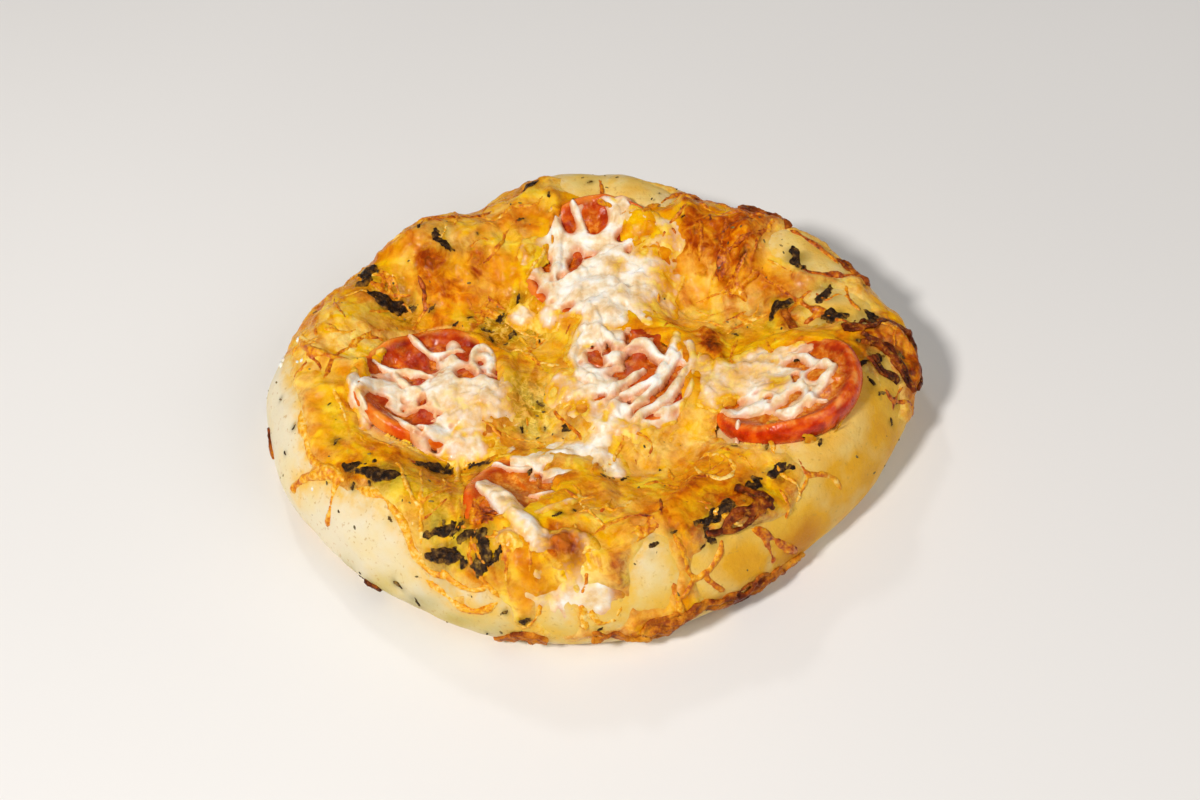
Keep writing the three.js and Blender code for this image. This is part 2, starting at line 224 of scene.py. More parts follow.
# The camera's place and its three directions. It looks down at the loaf and is rolled a little.
TILT = math.radians(49.411)
ROLL = math.radians(-5.486)
EYE = np.array((3.60, -339.28, 402.81))
FORWARD = np.array((0, math.cos(TILT), -math.sin(TILT)))
LEVEL_UP = np.array((0, math.sin(TILT), math.cos(TILT)))
RIGHT = math.cos(ROLL) * np.array((1.0, 0, 0)) + math.sin(ROLL) * LEVEL_UP
UP = math.cos(ROLL) * LEVEL_UP - math.sin(ROLL) * np.array((1.0, 0, 0))
LENS = 50
SENSOR = 36
PICTURE = (1200, 800)
FOCAL = LENS / SENSOR * PICTURE[0]


# Distances from the eye that are tried along a line of sight.
SIGHT = np.arange(440, 640, 0.2)


def seen(points, lift=0.0):
    """Plan points and heights where the camera sees picture points on the loaf, or on a layer over it."""
    points = np.atleast_2d(np.asarray(points, float))
    across, down = points[:, :1] - PICTURE[0] / 2, points[:, 1:2] - PICTURE[1] / 2
    rays = FORWARD + (across * RIGHT - down * UP) / FOCAL
    path = EYE + rays[:, None, :] * SIGHT[None, :, None]
    x, y, z = np.moveaxis(path, -1, 0)
    low = np.clip((WIDEST - z) / WIDEST, 0, 1)
    wide = outline(np.arctan2(y, x)) - FOOT_INSET * (1 - np.sqrt(1 - low**2))
    past = np.maximum(np.hypot(x, y) - wide, z - dough_height(x, y) - lift)
    past = np.where(z < 0, np.inf, past)
    hit = np.where((past < 0).any(1), (past < 0).argmax(1), past.argmin(1))
    return path[np.arange(len(points)), hit]


def on_skin(points, lift=0.0):
    found = seen(points, lift)
    return to_skin(found[:, 0], found[:, 1], found[:, 2] - lift)


def on_plan(points, lift=0.0):
    return seen(points, lift)[:, :2]


def placed(rows, lift=0.0, find=on_skin):
    """Rows that start with a picture point, with its place on the loaf instead."""
    return [(x, y, *row[2:]) for (x, y), row in zip(find([row[:2] for row in rows], lift), rows)]


# Points worked out between two given points of a path, before they are spaced evenly.
CURVE_POINTS = 24


def run_through(points, step):
    """A smooth path through points, at an even step."""
    points = np.asarray(points, float)
    ends = np.vstack((2 * points[0] - points[1], points, 2 * points[-1] - points[-2]))
    t = np.linspace(0, 1, CURVE_POINTS, endpoint=False)[:, None]
    path = []
    for a, b, c, d in zip(ends, ends[1:], ends[2:], ends[3:]):
        curve = 2 * b + (c - a) * t + (2 * a - 5 * b + 4 * c - d) * t**2 + (3 * b - a - 3 * c + d) * t**3
        path.append(0.5 * curve)
    path = np.vstack((*path, points[-1:]))
    length = np.concatenate(([0], np.cumsum(np.linalg.norm(np.diff(path, axis=0), axis=1))))
    marks = np.linspace(0, length[-1], max(3, int(length[-1] / step) + 1))
    return np.stack([np.interp(marks, length, path[:, i]) for i in range(path.shape[1])], 1)


def window(u, v, low, high):
    """The part of an even grid between two corners."""
    step = u[1, 0] - u[0, 0]
    i = [int(np.clip((c - u[0, 0]) / step, 0, u.shape[0])) for c in (low[0], high[0] + step)]
    j = [int(np.clip((c - v[0, 0]) / step, 0, u.shape[1])) for c in (low[1], high[1] + step)]
    return np.s_[i[0]:i[1], j[0]:j[1]]


def near_path(u, v, path, reach):
    """The part of a grid within reach of a path, and its distance to it."""
    cut = window(u, v, path.min(0) - reach, path.max(0) + reach)
    return cut, path_distance(u[cut], v[cut], path)


def path_distance(u, v, path):
    """Distance from the points of a grid to a path."""
    best = np.full(u.shape, 1e9)
    for (ax, ay), (bx, by) in zip(path[:-1], path[1:]):
        dx, dy = bx - ax, by - ay
        share = np.clip(((u - ax) * dx + (v - ay) * dy) / max(dx * dx + dy * dy, 1e-9), 0, 1)
        best = np.minimum(best, np.hypot(u - ax - share * dx, v - ay - share * dy))
    return best


def inside_ring(u, v, ring):
    """Distance inside a closed ring, negative outside it."""
    within = np.zeros(u.shape, bool)
    for (ax, ay), (bx, by) in zip(ring, np.roll(ring, -1, 0)):
        if ay != by:
            within ^= ((ay > v) != (by > v)) & (u < (bx - ax) * (v - ay) / (by - ay) + ax)
    distance = path_distance(u, v, np.vstack((ring, ring[:1])))
    return np.where(within, distance, -distance)


def oval_distance(u, v, x, y, long, wide, turn=0):
    """Rough distance inside an oval, negative outside it."""
    a = math.radians(turn)
    p = (u - x) * math.cos(a) + (v - y) * math.sin(a)
    q = (v - y) * math.cos(a) - (u - x) * math.sin(a)
    return (1 - np.hypot(p / long, q / wide)) * min(long, wide)


def patch(u, v, spots, lift=0.0):
    """Soft patches at picture points, each with a width, a depth and a strength."""
    total = np.zeros_like(u)
    for x, y, wide, deep, strength in placed(spots, lift):
        total = np.maximum(total, strength * np.exp(-(((u - x) / wide) ** 2) - ((v - y) / deep) ** 2))
    return total


def soft_max(a, b, blend):
    """The larger of two values, rounded over where they come close to each other."""
    share = np.clip(0.5 + 0.5 * (a - b) / blend, 0, 1)
    return b + (a - b) * share + blend * share * (1 - share)


# The grid on the unrolled skin that the sheet is worked out on.
SHEET_LOW = -113.5
SHEET_STEP = 0.5
SHEET_COUNT = 455
SHEET_LINE = SHEET_LOW + SHEET_STEP * np.arange(SHEET_COUNT)
SHEET_U, SHEET_V = np.meshgrid(SHEET_LINE, SHEET_LINE, indexing="ij")


class Layer:
    """Values on the grid of the sheet, which can be read between its points."""

    def __init__(self, values):
        self.values = values

    def read(self, u, v):
        limit = SHEET_COUNT - 1.001
        i, j = (np.clip((k - SHEET_LOW) / SHEET_STEP, 0, limit) for k in (u, v))
        a, b = i.astype(int), j.astype(int)
        i, j = i - a, j - b
        w = self.values
        near = w[a, b] * (1 - i) + w[a + 1, b] * i
        far = w[a, b + 1] * (1 - i) + w[a + 1, b + 1] * i
        return near * (1 - j) + far * j


def blurred(values, spread):
    """A square grid smoothed over a spread given in cells."""
    reach = int(3 * spread) + 1
    weights = bell(np.arange(-reach, reach + 1), spread * math.sqrt(2))
    weights /= weights.sum()
    for axis in (0, 1):
        padded = np.pad(values, [(reach, reach) if a == axis else (0, 0) for a in (0, 1)], mode="edge")
        values = sum(w * np.take(padded, range(i, i + values.shape[axis]), axis) for i, w in enumerate(weights))
    return values


# Meshes from arrays of points and faces.
def add_object(name, data):
    obj = bpy.data.objects.new(name, data)
    bpy.context.scene.collection.objects.link(obj)
    return obj


def store(mesh, key, values):
    """Keeps a value for each point of a mesh, for its finish or its tree."""
    numbers = np.asarray(values, np.float32).ravel()
    mesh.attributes.new(key, "FLOAT", "POINT").data.foreach_set("value", numbers)


def make_piece(name, points, faces, finish, masks=None, flat_last=False):
    """An object from points and groups of faces, the last of which can be left flat."""
    mesh = bpy.data.meshes.new(name)
    mesh.vertices.add(len(points))
    mesh.vertices.foreach_set("co", (np.asarray(points, float) * MM).ravel())
    loops = np.concatenate([f.ravel() for f in faces])
    sizes = np.concatenate([np.full(len(f), f.shape[1]) for f in faces])
    soft = np.ones(len(sizes), bool)
    if flat_last:
        soft[-len(faces[-1]):] = False
    mesh.loops.add(len(loops))
    mesh.loops.foreach_set("vertex_index", loops.astype(np.int32))
    mesh.polygons.add(len(sizes))
    mesh.polygons.foreach_set("loop_start", (np.cumsum(sizes) - sizes).astype(np.int32))
    mesh.polygons.foreach_set("use_smooth", soft)
    for key, values in (masks or {}).items():
        store(mesh, key, values)
    mesh.update(calc_edges=True)
    mesh.validate()
    mesh.materials.append(finish)
    return add_object(name, mesh)


def place(obj, slot, *nodes):
    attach(obj, "root")
    if nodes:
        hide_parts(*nodes)


def numbered(grid):
    """A number for each point of a grid."""
    return np.arange(grid.size).reshape(grid.shape)


def corners(grid):
    """What a grid holds at the four corners of its cells, in turn round each cell."""
    return grid[:-1, :-1], grid[1:, :-1], grid[1:, 1:], grid[:-1, 1:]


def whole_cells(kept):
    """The cells of a grid with all their corners kept."""
    return np.logical_and.reduce(corners(kept))


# How often cells that touch at a corner alone are joined.
JOIN_ROUNDS = 3


def slab(keep, top, under, masks):
    """A closed slab over the kept cells of a grid, between its upper and its lower points.

    Cells that touch at a corner alone are first joined by a cell beside them."""
    for _ in range(JOIN_ROUNDS):
        a, b, c, d = keep[:-1, :-1], keep[1:, :-1], keep[:-1, 1:], keep[1:, 1:]
        b |= a & d & ~b & ~c
        a |= b & c & ~a & ~d
    number = numbered(top[..., 0])
    count = number.size
    corner = corners(number)
    wide = np.pad(keep, 1)
    open_sides = [~wide[1:-1, :-2], ~wide[2:, 1:-1], ~wide[1:-1, 2:], ~wide[:-2, 1:-1]]
    quads = np.stack([k[keep] for k in corner], 1)
    walls = []
    for side, beyond in enumerate(open_sides):
        p, q = corner[side][keep & beyond], corner[(side + 1) % 4][keep & beyond]
        walls.append(np.stack((q, p, p + count, q + count), 1))
    walls = np.vstack(walls)
    used, faces = np.unique(np.vstack((quads, quads[:, ::-1] + count, walls)), return_inverse=True)
    faces = faces.reshape(-1, 4)
    points = np.vstack((top.reshape(-1, 3), under.reshape(-1, 3)))[used]
    picked = {key: np.concatenate((m.ravel(), m.ravel()))[used] for key, m in masks.items()}
    return points, (faces[:-len(walls)], faces[-len(walls):]), picked


# Node materials. Sizes in them are millimetres, and patterns lie on object coordinates.
def tone(code):
    parts = [int(code[i:i + 2], 16) / 255 for i in (0, 2, 4)]
    return (*[c / 12.92 if c <= 0.04045 else ((c + 0.055) / 1.055) ** 2.4 for c in parts], 1)


class Finish:
    def __init__(self, name, **constants):
        self.material = bpy.data.materials.new(name)
        self.material.use_nodes = True
        self.nodes = self.material.node_tree.nodes
        self.links = self.material.node_tree.links
        self.shader = self.nodes["Principled BSDF"]
        self.place = self.nodes.new("ShaderNodeTexCoord").outputs["Object"]
        for key, value in constants.items():
            self.shader.inputs[key.replace("_", " ").title().replace("Ior", "IOR")].default_value = value

    def feed(self, socket, value):
        if isinstance(value, bpy.types.NodeSocket):
            self.links.new(value, socket)
        else:
            socket.default_value = tone(value) if isinstance(value, str) else value

    def noise(self, size, detail=3.0, rough=0.55, bend=0.0):
        node = self.nodes.new("ShaderNodeTexNoise")
        self.links.new(self.place, node.inputs["Vector"])
        values = 1 / (size * MM), detail, rough, bend
        for key, number in zip(("Scale", "Detail", "Roughness", "Distortion"), values):
            node.inputs[key].default_value = number
        return node.outputs["Fac"]

    def mask(self, name):
        node = self.nodes.new("ShaderNodeAttribute")
        node.attribute_name = name
        return node.outputs["Fac"]

    def add(self, a, b, kind="ADD"):
        node = self.nodes.new("ShaderNodeMath")
        node.operation = kind
        self.feed(node.inputs[0], a)
        self.feed(node.inputs[1], b)
        return node.outputs[0]

    def times(self, a, b):
        return self.add(a, b, "MULTIPLY")

    def span(self, value, low, high, start=0.0, end=1.0):
        node = self.nodes.new("ShaderNodeMapRange")
        self.feed(node.inputs["Value"], value)
        for key, number in zip(("From Min", "From Max", "To Min", "To Max"), (low, high, start, end)):
            node.inputs[key].default_value = number
        return node.outputs["Result"]

    def ramp(self, value, *stops):
        node = self.nodes.new("ShaderNodeValToRGB")
        bar = node.color_ramp.elements
        while len(bar) < len(stops):
            bar.new(0.5)
        for element, (at, code) in zip(bar, stops):
            element.position = at
            element.color = tone(code)
        self.feed(node.inputs["Fac"], value)
        return node.outputs["Color"]

    def blend(self, share, a, b):
        """A mix of two colours. Its colour sockets are the seventh and the eighth."""
        node = self.nodes.new("ShaderNodeMix")
        node.data_type = "RGBA"
        for i, value in ((0, share), (6, a), (7, b)):
            self.feed(node.inputs[i], value)
        return node.outputs[2]

    def done(self, colour, rough=None, *bumps):
        """The material. Each bump has a depth and the values of its noise, and lies over the one before."""
        self.links.new(colour, self.shader.inputs["Base Color"])
        if rough is not None:
            self.links.new(rough, self.shader.inputs["Roughness"])
        normals = []
        for depth, *lumps in bumps:
            node = self.nodes.new("ShaderNodeBump")
            node.inputs["Distance"].default_value = depth * MM
            self.links.new(self.noise(*lumps), node.inputs["Height"])
            if normals:
                self.links.new(normals[-1], node.inputs["Normal"])
            normals.append(node.outputs["Normal"])
        for key in ("Normal", "Coat Normal") if normals else ():
            self.links.new(normals[-1], self.shader.inputs[key])
        return self.material


def dough_finish():
    f = Finish(
        "baked_dough", specular_ior_level=0.2,
        subsurface_weight=0.12, subsurface_scale=0.003, subsurface_radius=(1.0, 0.6, 0.3),
    )
    toast = f.add(f.mask("toast"), f.span(f.noise(14, 4), 0.35, 0.65, -0.1, 0.1))
    colour = f.ramp(toast, (0.0, "e8dbbc"), (0.25, "ebd084"), (0.5, "e6a820"), (0.75, "cf850c"), (1.0, "9a4f0c"))
    colour = f.blend(f.mask("green"), colour, "a99a3e")
    gild = f.times(f.mask("gild"), f.span(f.noise(4, 4, 0.6), 0.35, 0.6, 0.35, 1.0))
    colour = f.blend(gild, colour, "eebb3e")
    colour = f.blend(f.mask("stain"), colour, "6b571a")
    specks = f.span(f.noise(1.6, 2, 0.6), 0.62, 0.72, 0, 0.5)
    colour = f.blend(specks, colour, "c08f3a")
    rough = f.span(f.noise(5, 3), 0.3, 0.7, 0.35, 0.6)
    return f.done(colour, rough, (0.14, 0.9, 3, 0.6), (0.3, 3.5, 3, 0.6))


def golden_finish():
    f = Finish(
        "golden_cheese", specular_ior_level=0.05, coat_weight=0.12, coat_roughness=0.05,
        subsurface_weight=0.25, subsurface_scale=0.002, subsurface_radius=(1.0, 0.45, 0.1),
    )
    cloud = f.noise(12, 4, 0.5, 0.6)
    fine = f.noise(1.8, 5, 0.62, 0.8)
    streak = f.noise(4.5, 4, 0.55, 0.9)
    value = f.add(f.span(cloud, 0.36, 0.64, 0.2, 0.68), f.times(f.mask("tint"), 0.3))
    # Painted light: the sheet is lighter on the tops of its large swells and darker between them.
    value = f.add(value, f.times(f.mask("swell_light"), 0.12))
    value = f.add(value, f.span(fine, 0.36, 0.64, -0.07, 0.09))
    colour = f.ramp(value, (0.06, "b85600"), (0.3, "dd8400"), (0.5, "eb9f00"), (0.74, "f6ba00"), (1.0, "fbd230"))
    # Pale cheese, and in part a painted sheen on glossy places.
    pale = f.times(f.mask("pale"), f.span(fine, 0.36, 0.58, 0.8, 1.1))
    colour = f.blend(pale, colour, f.ramp(streak, (0.36, "f4b800"), (0.62, "fce68c")))
    # Olive: herb oil, and in part painted shade between the slices.
    green = f.times(f.mask("green"), 0.85)
    colour = f.blend(green, colour, f.ramp(fine, (0.38, "7c6408"), (0.5, "bc9412"), (0.62, "eed06a")))
    orange = f.add(f.mask("orange"), f.span(fine, 0.38, 0.62, -0.15, 0.15))
    orange = f.add(orange, f.times(f.mask("tint"), -0.3))
    colour = f.blend(orange, colour, f.ramp(streak, (0.36, "c25000"), (0.5, "e07c00"), (0.64, "f3a410")))
    brown = f.add(f.mask("brown"), f.span(f.noise(5.0, 5, 0.6, 0.8), 0.36, 0.64, -0.4, 0.3))
    browned = f.ramp(streak, (0.36, "963402"), (0.5, "be5602"), (0.64, "e08a14"))
    colour = f.blend(f.span(brown, 0.15, 0.75), colour, browned)
    colour = f.blend(f.span(brown, 0.9, 1.5), colour, "561c03")
    bare = f.times(f.mask("bare"), f.span(fine, 0.38, 0.62, 0.3, 0.9))
    colour = f.blend(bare, colour, "f2cf72")
    colour = f.blend(f.mask("stain"), colour, f.ramp(fine, (0.38, "33270d"), (0.6, "93761f")))
    rough = f.span(f.noise(1.5, 3, 0.6), 0.35, 0.65, 0.18, 0.42)
    return f.done(colour, rough, (0.12, 0.9, 3, 0.6), (0.32, 2.4, 3, 0.55, 0.5))


def scrap_finish():
    f = Finish("herb_scrap", specular_ior_level=0.16)
    colour = f.ramp(f.noise(2.4, 5, 0.65), (0.38, "1e1006"), (0.47, "3c240c"), (0.54, "5e4216"), (0.62, "94702a"))
    return f.done(colour, f.span(f.noise(1.5), 0.35, 0.65, 0.2, 0.6), (0.3, 0.6, 4, 0.65))


def strand_finish():
    f = Finish("crisped_strand", specular_ior_level=0.2, coat_weight=0.2, coat_roughness=0.15)
    fine = f.noise(1.6, 4, 0.6)
    shade = f.add(f.mask("shade"), f.span(fine, 0.32, 0.68, -0.3, 0.3))
    colour = f.ramp(shade, (0.0, "fadc84"), (0.3, "f2ae14"), (0.55, "dc8000"), (0.8, "b64e02"), (1.0, "6c2402"))
    return f.done(colour, f.span(fine, 0.3, 0.7, 0.22, 0.5), (0.25, 0.7, 3, 0.6))


def crisp_finish():
    f = Finish("crisp_lace", specular_ior_level=0.14)
    fine = f.noise(1.4, 5, 0.65)
    shade = f.add(f.mask("shade"), f.span(f.noise(5, 5, 0.65), 0.36, 0.64, 0.35, -0.3))
    colour = f.ramp(shade, (0.05, "e29a26"), (0.3, "cc760e"), (0.55, "9a4606"), (0.78, "702803"), (1.05, "3c1202"))
    colour = f.blend(f.span(fine, 0.54, 0.68, 0, 0.6), colour, "d68c1e")
    colour = f.blend(f.span(fine, 0.44, 0.3, 0, 0.7), colour, "5a1e03")
    return f.done(colour, f.span(fine, 0.3, 0.7, 0.25, 0.5), (0.3, 0.6, 4, 0.65))


def white_finish():
    f = Finish(
        "white_cheese", specular_ior_level=0.3,
        subsurface_weight=0.18, subsurface_scale=0.002, subsurface_radius=(1.0, 0.6, 0.4),
    )
    fine = f.noise(3.0, 4, 0.55)
    colour = f.ramp(f.noise(5, 4), (0.34, "e8c490"), (0.45, "f4dcb8"), (0.55, "fcf0de"), (0.68, "fffbf3"))
    gold = f.add(f.mask("gold"), f.span(fine, 0.35, 0.65, -0.16, 0.16))
    gilded = f.ramp(fine, (0.36, "dc9006"), (0.5, "ecac12"), (0.64, "f8d050"))
    colour = f.blend(f.span(gold, 0.15, 0.8), colour, gilded)
    thin = f.add(f.mask("thin"), f.span(fine, 0.35, 0.65, -0.15, 0.15))
    colour = f.blend(f.span(thin, 0.2, 1.0, 0, 0.9), colour, f.ramp(fine, (0.36, "d4702e"), (0.62, "efb884")))
    browned = f.ramp(fine, (0.36, "8a3204"), (0.62, "cf6c0c"))
    colour = f.blend(f.span(f.mask("brown"), 0.1, 0.9), colour, browned)
    rough = f.span(fine, 0.35, 0.65, 0.16, 0.36)
    return f.done(colour, rough, (0.14, 0.9, 3, 0.6), (0.3, 2.5, 3, 0.6))


def tomato_finish():
    f = Finish(
        "tomato", specular_ior_level=0.22, coat_weight=0.12, coat_roughness=0.1,
        subsurface_weight=0.1, subsurface_scale=0.003, subsurface_radius=(1.0, 0.25, 0.1),
    )
    fine = f.noise(1.8, 4, 0.6)
    colour = f.ramp(f.noise(5, 4, 0.6), (0.34, "8c1800"), (0.5, "b43000"), (0.66, "d85a0a"))
    pulp = f.ramp(fine, (0.34, "a23000"), (0.5, "ca5604"), (0.66, "e6881e"))
    colour = f.blend(f.mask("pulp"), colour, pulp)
    veil = f.add(f.mask("veil"), f.span(f.noise(4, 4, 0.6), 0.36, 0.64, -0.3, 0.2))
    colour = f.blend(veil, colour, f.ramp(fine, (0.36, "cc5e02"), (0.5, "e08016"), (0.64, "f4ac42")))
    rim = f.ramp(f.noise(6, 3, 0.55), (0.38, "d84e08"), (0.5, "ea7618"), (0.62, "f69e38"))
    side = f.ramp(f.noise(5, 3, 0.55), (0.36, "a81400"), (0.5, "d03000"), (0.64, "ee600a"))
    ripe = f.ramp(f.noise(4, 4, 0.6), (0.36, "cc3802"), (0.5, "ea660e"), (0.64, "fca048"))
    ripe = f.blend(f.mask("side"), ripe, side)
    colour = f.blend(f.mask("skin"), colour, f.blend(f.mask("ripe"), rim, ripe))
    rough = f.span(fine, 0.3, 0.7, 0.12, 0.34)
    return f.done(colour, rough, (0.12, 0.9, 3, 0.6), (0.4, 3, 3, 0.6))


def herb_finish():
    f = Finish("wilted_herb", specular_ior_level=0.16)
    fine = f.noise(1.6, 5, 0.65)
    colour = f.ramp(fine, (0.36, "100704"), (0.46, "241409"), (0.56, "42280f"), (0.66, "705022"))
    edge = f.add(f.mask("edge"), f.span(fine, 0.35, 0.65, -0.35, 0.35))
    colour = f.blend(f.span(edge, 0.4, 1.1), colour, f.ramp(fine, (0.4, "48290a"), (0.6, "9c6c1e")))
    return f.done(colour, f.span(f.noise(1.5), 0.35, 0.65, 0.2, 0.55), (0.4, 0.6, 4, 0.65))


def flake_finish():
    f = Finish("herb_flake")
    colour = f.ramp(f.noise(3.0, 2), (0.38, "382a0e"), (0.5, "64521e"), (0.62, "927634"))
    return f.done(colour, f.span(f.noise(1.5), 0.3, 0.7, 0.4, 0.7))


def crumb_finish():
    f = Finish("white_crumb", subsurface_weight=0.2, subsurface_scale=0.002)
    colour = f.ramp(f.noise(1.5, 3), (0.35, "efe6d2"), (0.65, "ffffff"))
    return f.done(colour, f.span(f.noise(0.8), 0.3, 0.7, 0.3, 0.5))


# Geometry Nodes trees. Each has named inputs for its sizes, and ends in Realize Instances and Set Material.
class Tree:
    def __init__(self, name, **inputs):
        self.tree = bpy.data.node_groups.new(name, "GeometryNodeTree")
        face = self.tree.interface
        face.new_socket("Geometry", in_out="INPUT", socket_type="NodeSocketGeometry")
        kinds = {float: "NodeSocketFloat", int: "NodeSocketInt"}
        for key, value in inputs.items():
            socket = face.new_socket(key, in_out="INPUT", socket_type=kinds[type(value)])
            socket.default_value = value
        face.new_socket("Finish", in_out="INPUT", socket_type="NodeSocketMaterial")
        face.new_socket("Geometry", in_out="OUTPUT", socket_type="NodeSocketGeometry")
        self.start = self.tree.nodes.new("NodeGroupInput").outputs

    def add(self, kind, settings=None, **inputs):
        """A node with its inputs, by name or as _0, _1. A node given as a value stands for its first output."""
        node = self.tree.nodes.new(kind)
        for key, value in (settings or {}).items():
            setattr(node, key, value)
        for key, value in inputs.items():
            socket = node.inputs[int(key[1:]) if key[0] == "_" else key.replace("_", " ")]
            if isinstance(value, bpy.types.Node):
                value = value.outputs[0]
            if isinstance(value, bpy.types.NodeSocket):
                self.tree.links.new(value, socket)
            else:
                socket.default_value = value
        return node

    def end(self, geometry):
        soft = self.add("GeometryNodeSetShadeSmooth", Geometry=geometry)
        real = self.add("GeometryNodeRealizeInstances", Geometry=soft)
        dressed = self.add("GeometryNodeSetMaterial", Geometry=real, Material=self.start["Finish"])
        self.tree.links.new(dressed.outputs[0], self.tree.nodes.new("NodeGroupOutput").inputs[0])
        return self.tree

    def named(self, key):
        return self.add("GeometryNodeInputNamedAttribute", {"data_type": "FLOAT"}, Name=key)

    def lump(self, size, detail):
        return self.add(
            "ShaderNodeTexNoise", {"noise_dimensions": "4D"}, Scale=size, Detail=detail, W=self.start["Seed"]
        )

    def scaled(self, vector, amount):
        return self.add("ShaderNodeVectorMath", {"operation": "SCALE"}, _0=vector, Scale=amount)

    def crusted(self, curve):
        """Tubes along a curve, melted into one body where they touch, with a rough skin and the tubes' shade."""
        start, even = self.start, {"resolution_mode": "VOXEL_SIZE"}
        section = self.add("GeometryNodeCurvePrimitiveCircle", Resolution=start["Sides"], Radius=1.0)
        tubes = self.add(
            "GeometryNodeCurveToMesh",
            Curve=curve, Profile_Curve=section, Scale=self.named("thick"), Fill_Caps=True,
        )
        fog = self.add(
            "GeometryNodeMeshToVolume", even, Mesh=tubes, Voxel_Size=start["Voxel"], Interior_Band_Width=MM
        )
        crust = self.add("GeometryNodeVolumeToMesh", even, Volume=fog, Voxel_Size=start["Voxel"], Threshold=0.1)
        frill = self.lump(start["Frizz"], 3.0)
        centred = self.add("ShaderNodeMath", {"operation": "SUBTRACT"}, _0=frill, _1=0.55)
        depth = self.add("ShaderNodeMath", {"operation": "MULTIPLY"}, _0=centred, _1=start["Crispness"])
        push = self.scaled(self.add("GeometryNodeInputNormal"), depth)
        rough = self.add("GeometryNodeSetPosition", Geometry=crust, Offset=push)
        nearest = self.add("GeometryNodeSampleNearest", Geometry=tubes)
        shade = self.add("GeometryNodeSampleIndex", Geometry=tubes, Value=self.named("shade"), Index=nearest)
        return self.add("GeometryNodeStoreNamedAttribute", Geometry=rough, Name="shade", Value=shade)


def strand_tree():
    t = Tree(
        "laid_strands", Sides=8, Voxel=0.00048, Wander=0.0009, Waviness=220.0,
        Crispness=0.0009, Frizz=560.0, Seed=3.0,
    )
    wave = t.lump(t.start["Waviness"], 2.0).outputs["Color"]
    centred = t.add("ShaderNodeVectorMath", {"operation": "SUBTRACT"}, _0=wave, _1=(0.5, 0.5, 0.5))
    curve = t.add("GeometryNodeMeshToCurve", Mesh=t.start["Geometry"])
    moved = t.add("GeometryNodeSetPosition", Geometry=curve, Offset=t.scaled(centred, t.start["Wander"]))
    return t.end(t.crusted(moved))


def lace_tree():
    t = Tree("crisp_lace", Sides=7, Voxel=0.0004, Crispness=0.0011, Frizz=520.0, Seed=5.0)
    return t.end(t.crusted(t.add("GeometryNodeMeshToCurve", Mesh=t.start["Geometry"])))


# Sown flakes: how far each is turned about its three axes either way, and the range of its size.
FLAKE_TURN = (0.35, 0.35, 3.14)
FLAKE_SIZES = (0.35, 1.2)


def sown_tree():
    t = Tree("sown_flakes", Length=0.0011, Breadth=0.0005, Thickness=0.00022, Seed=7)
    seed = t.start["Seed"]
    dots = t.add(
        "GeometryNodeDistributePointsOnFaces", {"distribute_method": "RANDOM"},
        Mesh=t.start["Geometry"], Density=t.named("sow"), Seed=seed,
    )
    flake = t.add("GeometryNodeMeshIcoSphere", Radius=1.0, Subdivisions=1)
    spin = t.add(
        "FunctionNodeRandomValue", {"data_type": "FLOAT_VECTOR"},
        _0=[-angle for angle in FLAKE_TURN], _1=FLAKE_TURN, Seed=seed,
    )
    turn = t.add(
        "FunctionNodeRotateRotation", {"rotation_space": "LOCAL"},
        Rotation=dots.outputs["Rotation"], Rotate_By=spin,
    )
    full = t.add("ShaderNodeCombineXYZ", X=t.start["Length"], Y=t.start["Breadth"], Z=t.start["Thickness"])
    low, high = FLAKE_SIZES
    drawn = t.add("FunctionNodeRandomValue", {"data_type": "FLOAT"}, _2=low, _3=high, Seed=seed)
    size = t.scaled(full, drawn.outputs[1])
    return t.end(t.add("GeometryNodeInstanceOnPoints", Points=dots, Instance=flake, Rotation=turn, Scale=size))


def grown(name, source, tree, finish, **values):
    """Runs a tree on a mesh and keeps the result as a plain mesh."""
    base = add_object(name + "_source", source)
    modifier = base.modifiers.new("grow", "NODES")
    modifier.node_group = tree
    values["Finish"] = finish
    for item in tree.interface.items_tree:
        if item.in_out == "INPUT" and item.name in values:
            modifier[item.identifier] = values[item.name]
    whole = base.evaluated_get(bpy.context.evaluated_depsgraph_get())
    mesh = bpy.data.meshes.new_from_object(whole)
    bpy.data.objects.remove(base)
    mesh.name = name
    return add_object(name, mesh)


def path_mesh(name, paths):
    """Paths as chains of edges, each point with its thickness and shade."""
    points, thick, shade = (np.concatenate(part) for part in zip(*paths))
    ends = np.cumsum([len(path[0]) for path in paths]) - 1
    starts = np.setdiff1d(np.arange(len(points)), ends)
    mesh = bpy.data.meshes.new(name)
    mesh.vertices.add(len(points))
    mesh.vertices.foreach_set("co", (points * MM).ravel())
    mesh.edges.add(len(starts))
    mesh.edges.foreach_set("vertices", np.stack((starts, starts + 1), 1).astype(np.int32).ravel())
    store(mesh, "thick", thick * MM)
    store(mesh, "shade", shade)
    mesh.update()
    return mesh


# The dough body.
DOUGH_CELLS = 260
# Picture points, width, depth and strength of browned and of green patches of the dough.
DOUGH_TOAST = (
    (880, 420, 26, 30, 0.52), (860, 480, 24, 22, 0.54), (800, 545, 22, 16, 0.68), (745, 565, 16, 12, 0.62),
    (815, 250, 16, 10, 0.3), (590, 185, 12, 8, 0.36), (635, 190, 12, 8, 0.34), (648, 570, 8, 8, 0.05),
    (606, 612, 10, 6, 0.36), (840, 310, 14, 10, 0.42), (440, 622, 30, 6, 0.28), (375, 592, 16, 5, 0.26),
    (360, 330, 14, 12, 0.4), (560, 630, 22, 7, 0.3), (690, 605, 22, 7, 0.5),
)
DOUGH_GREEN = (
    (588, 182, 5, 3, 0.3), (590, 195, 4, 3, 0.25), (380, 588, 14, 5, 0.55), (870, 350, 6, 6, 0.3),
    (420, 604, 14, 5, 0.58), (462, 620, 16, 5, 0.52), (505, 630, 14, 5, 0.46), (350, 566, 9, 4, 0.35),
    (550, 634, 14, 4, 0.3),
)


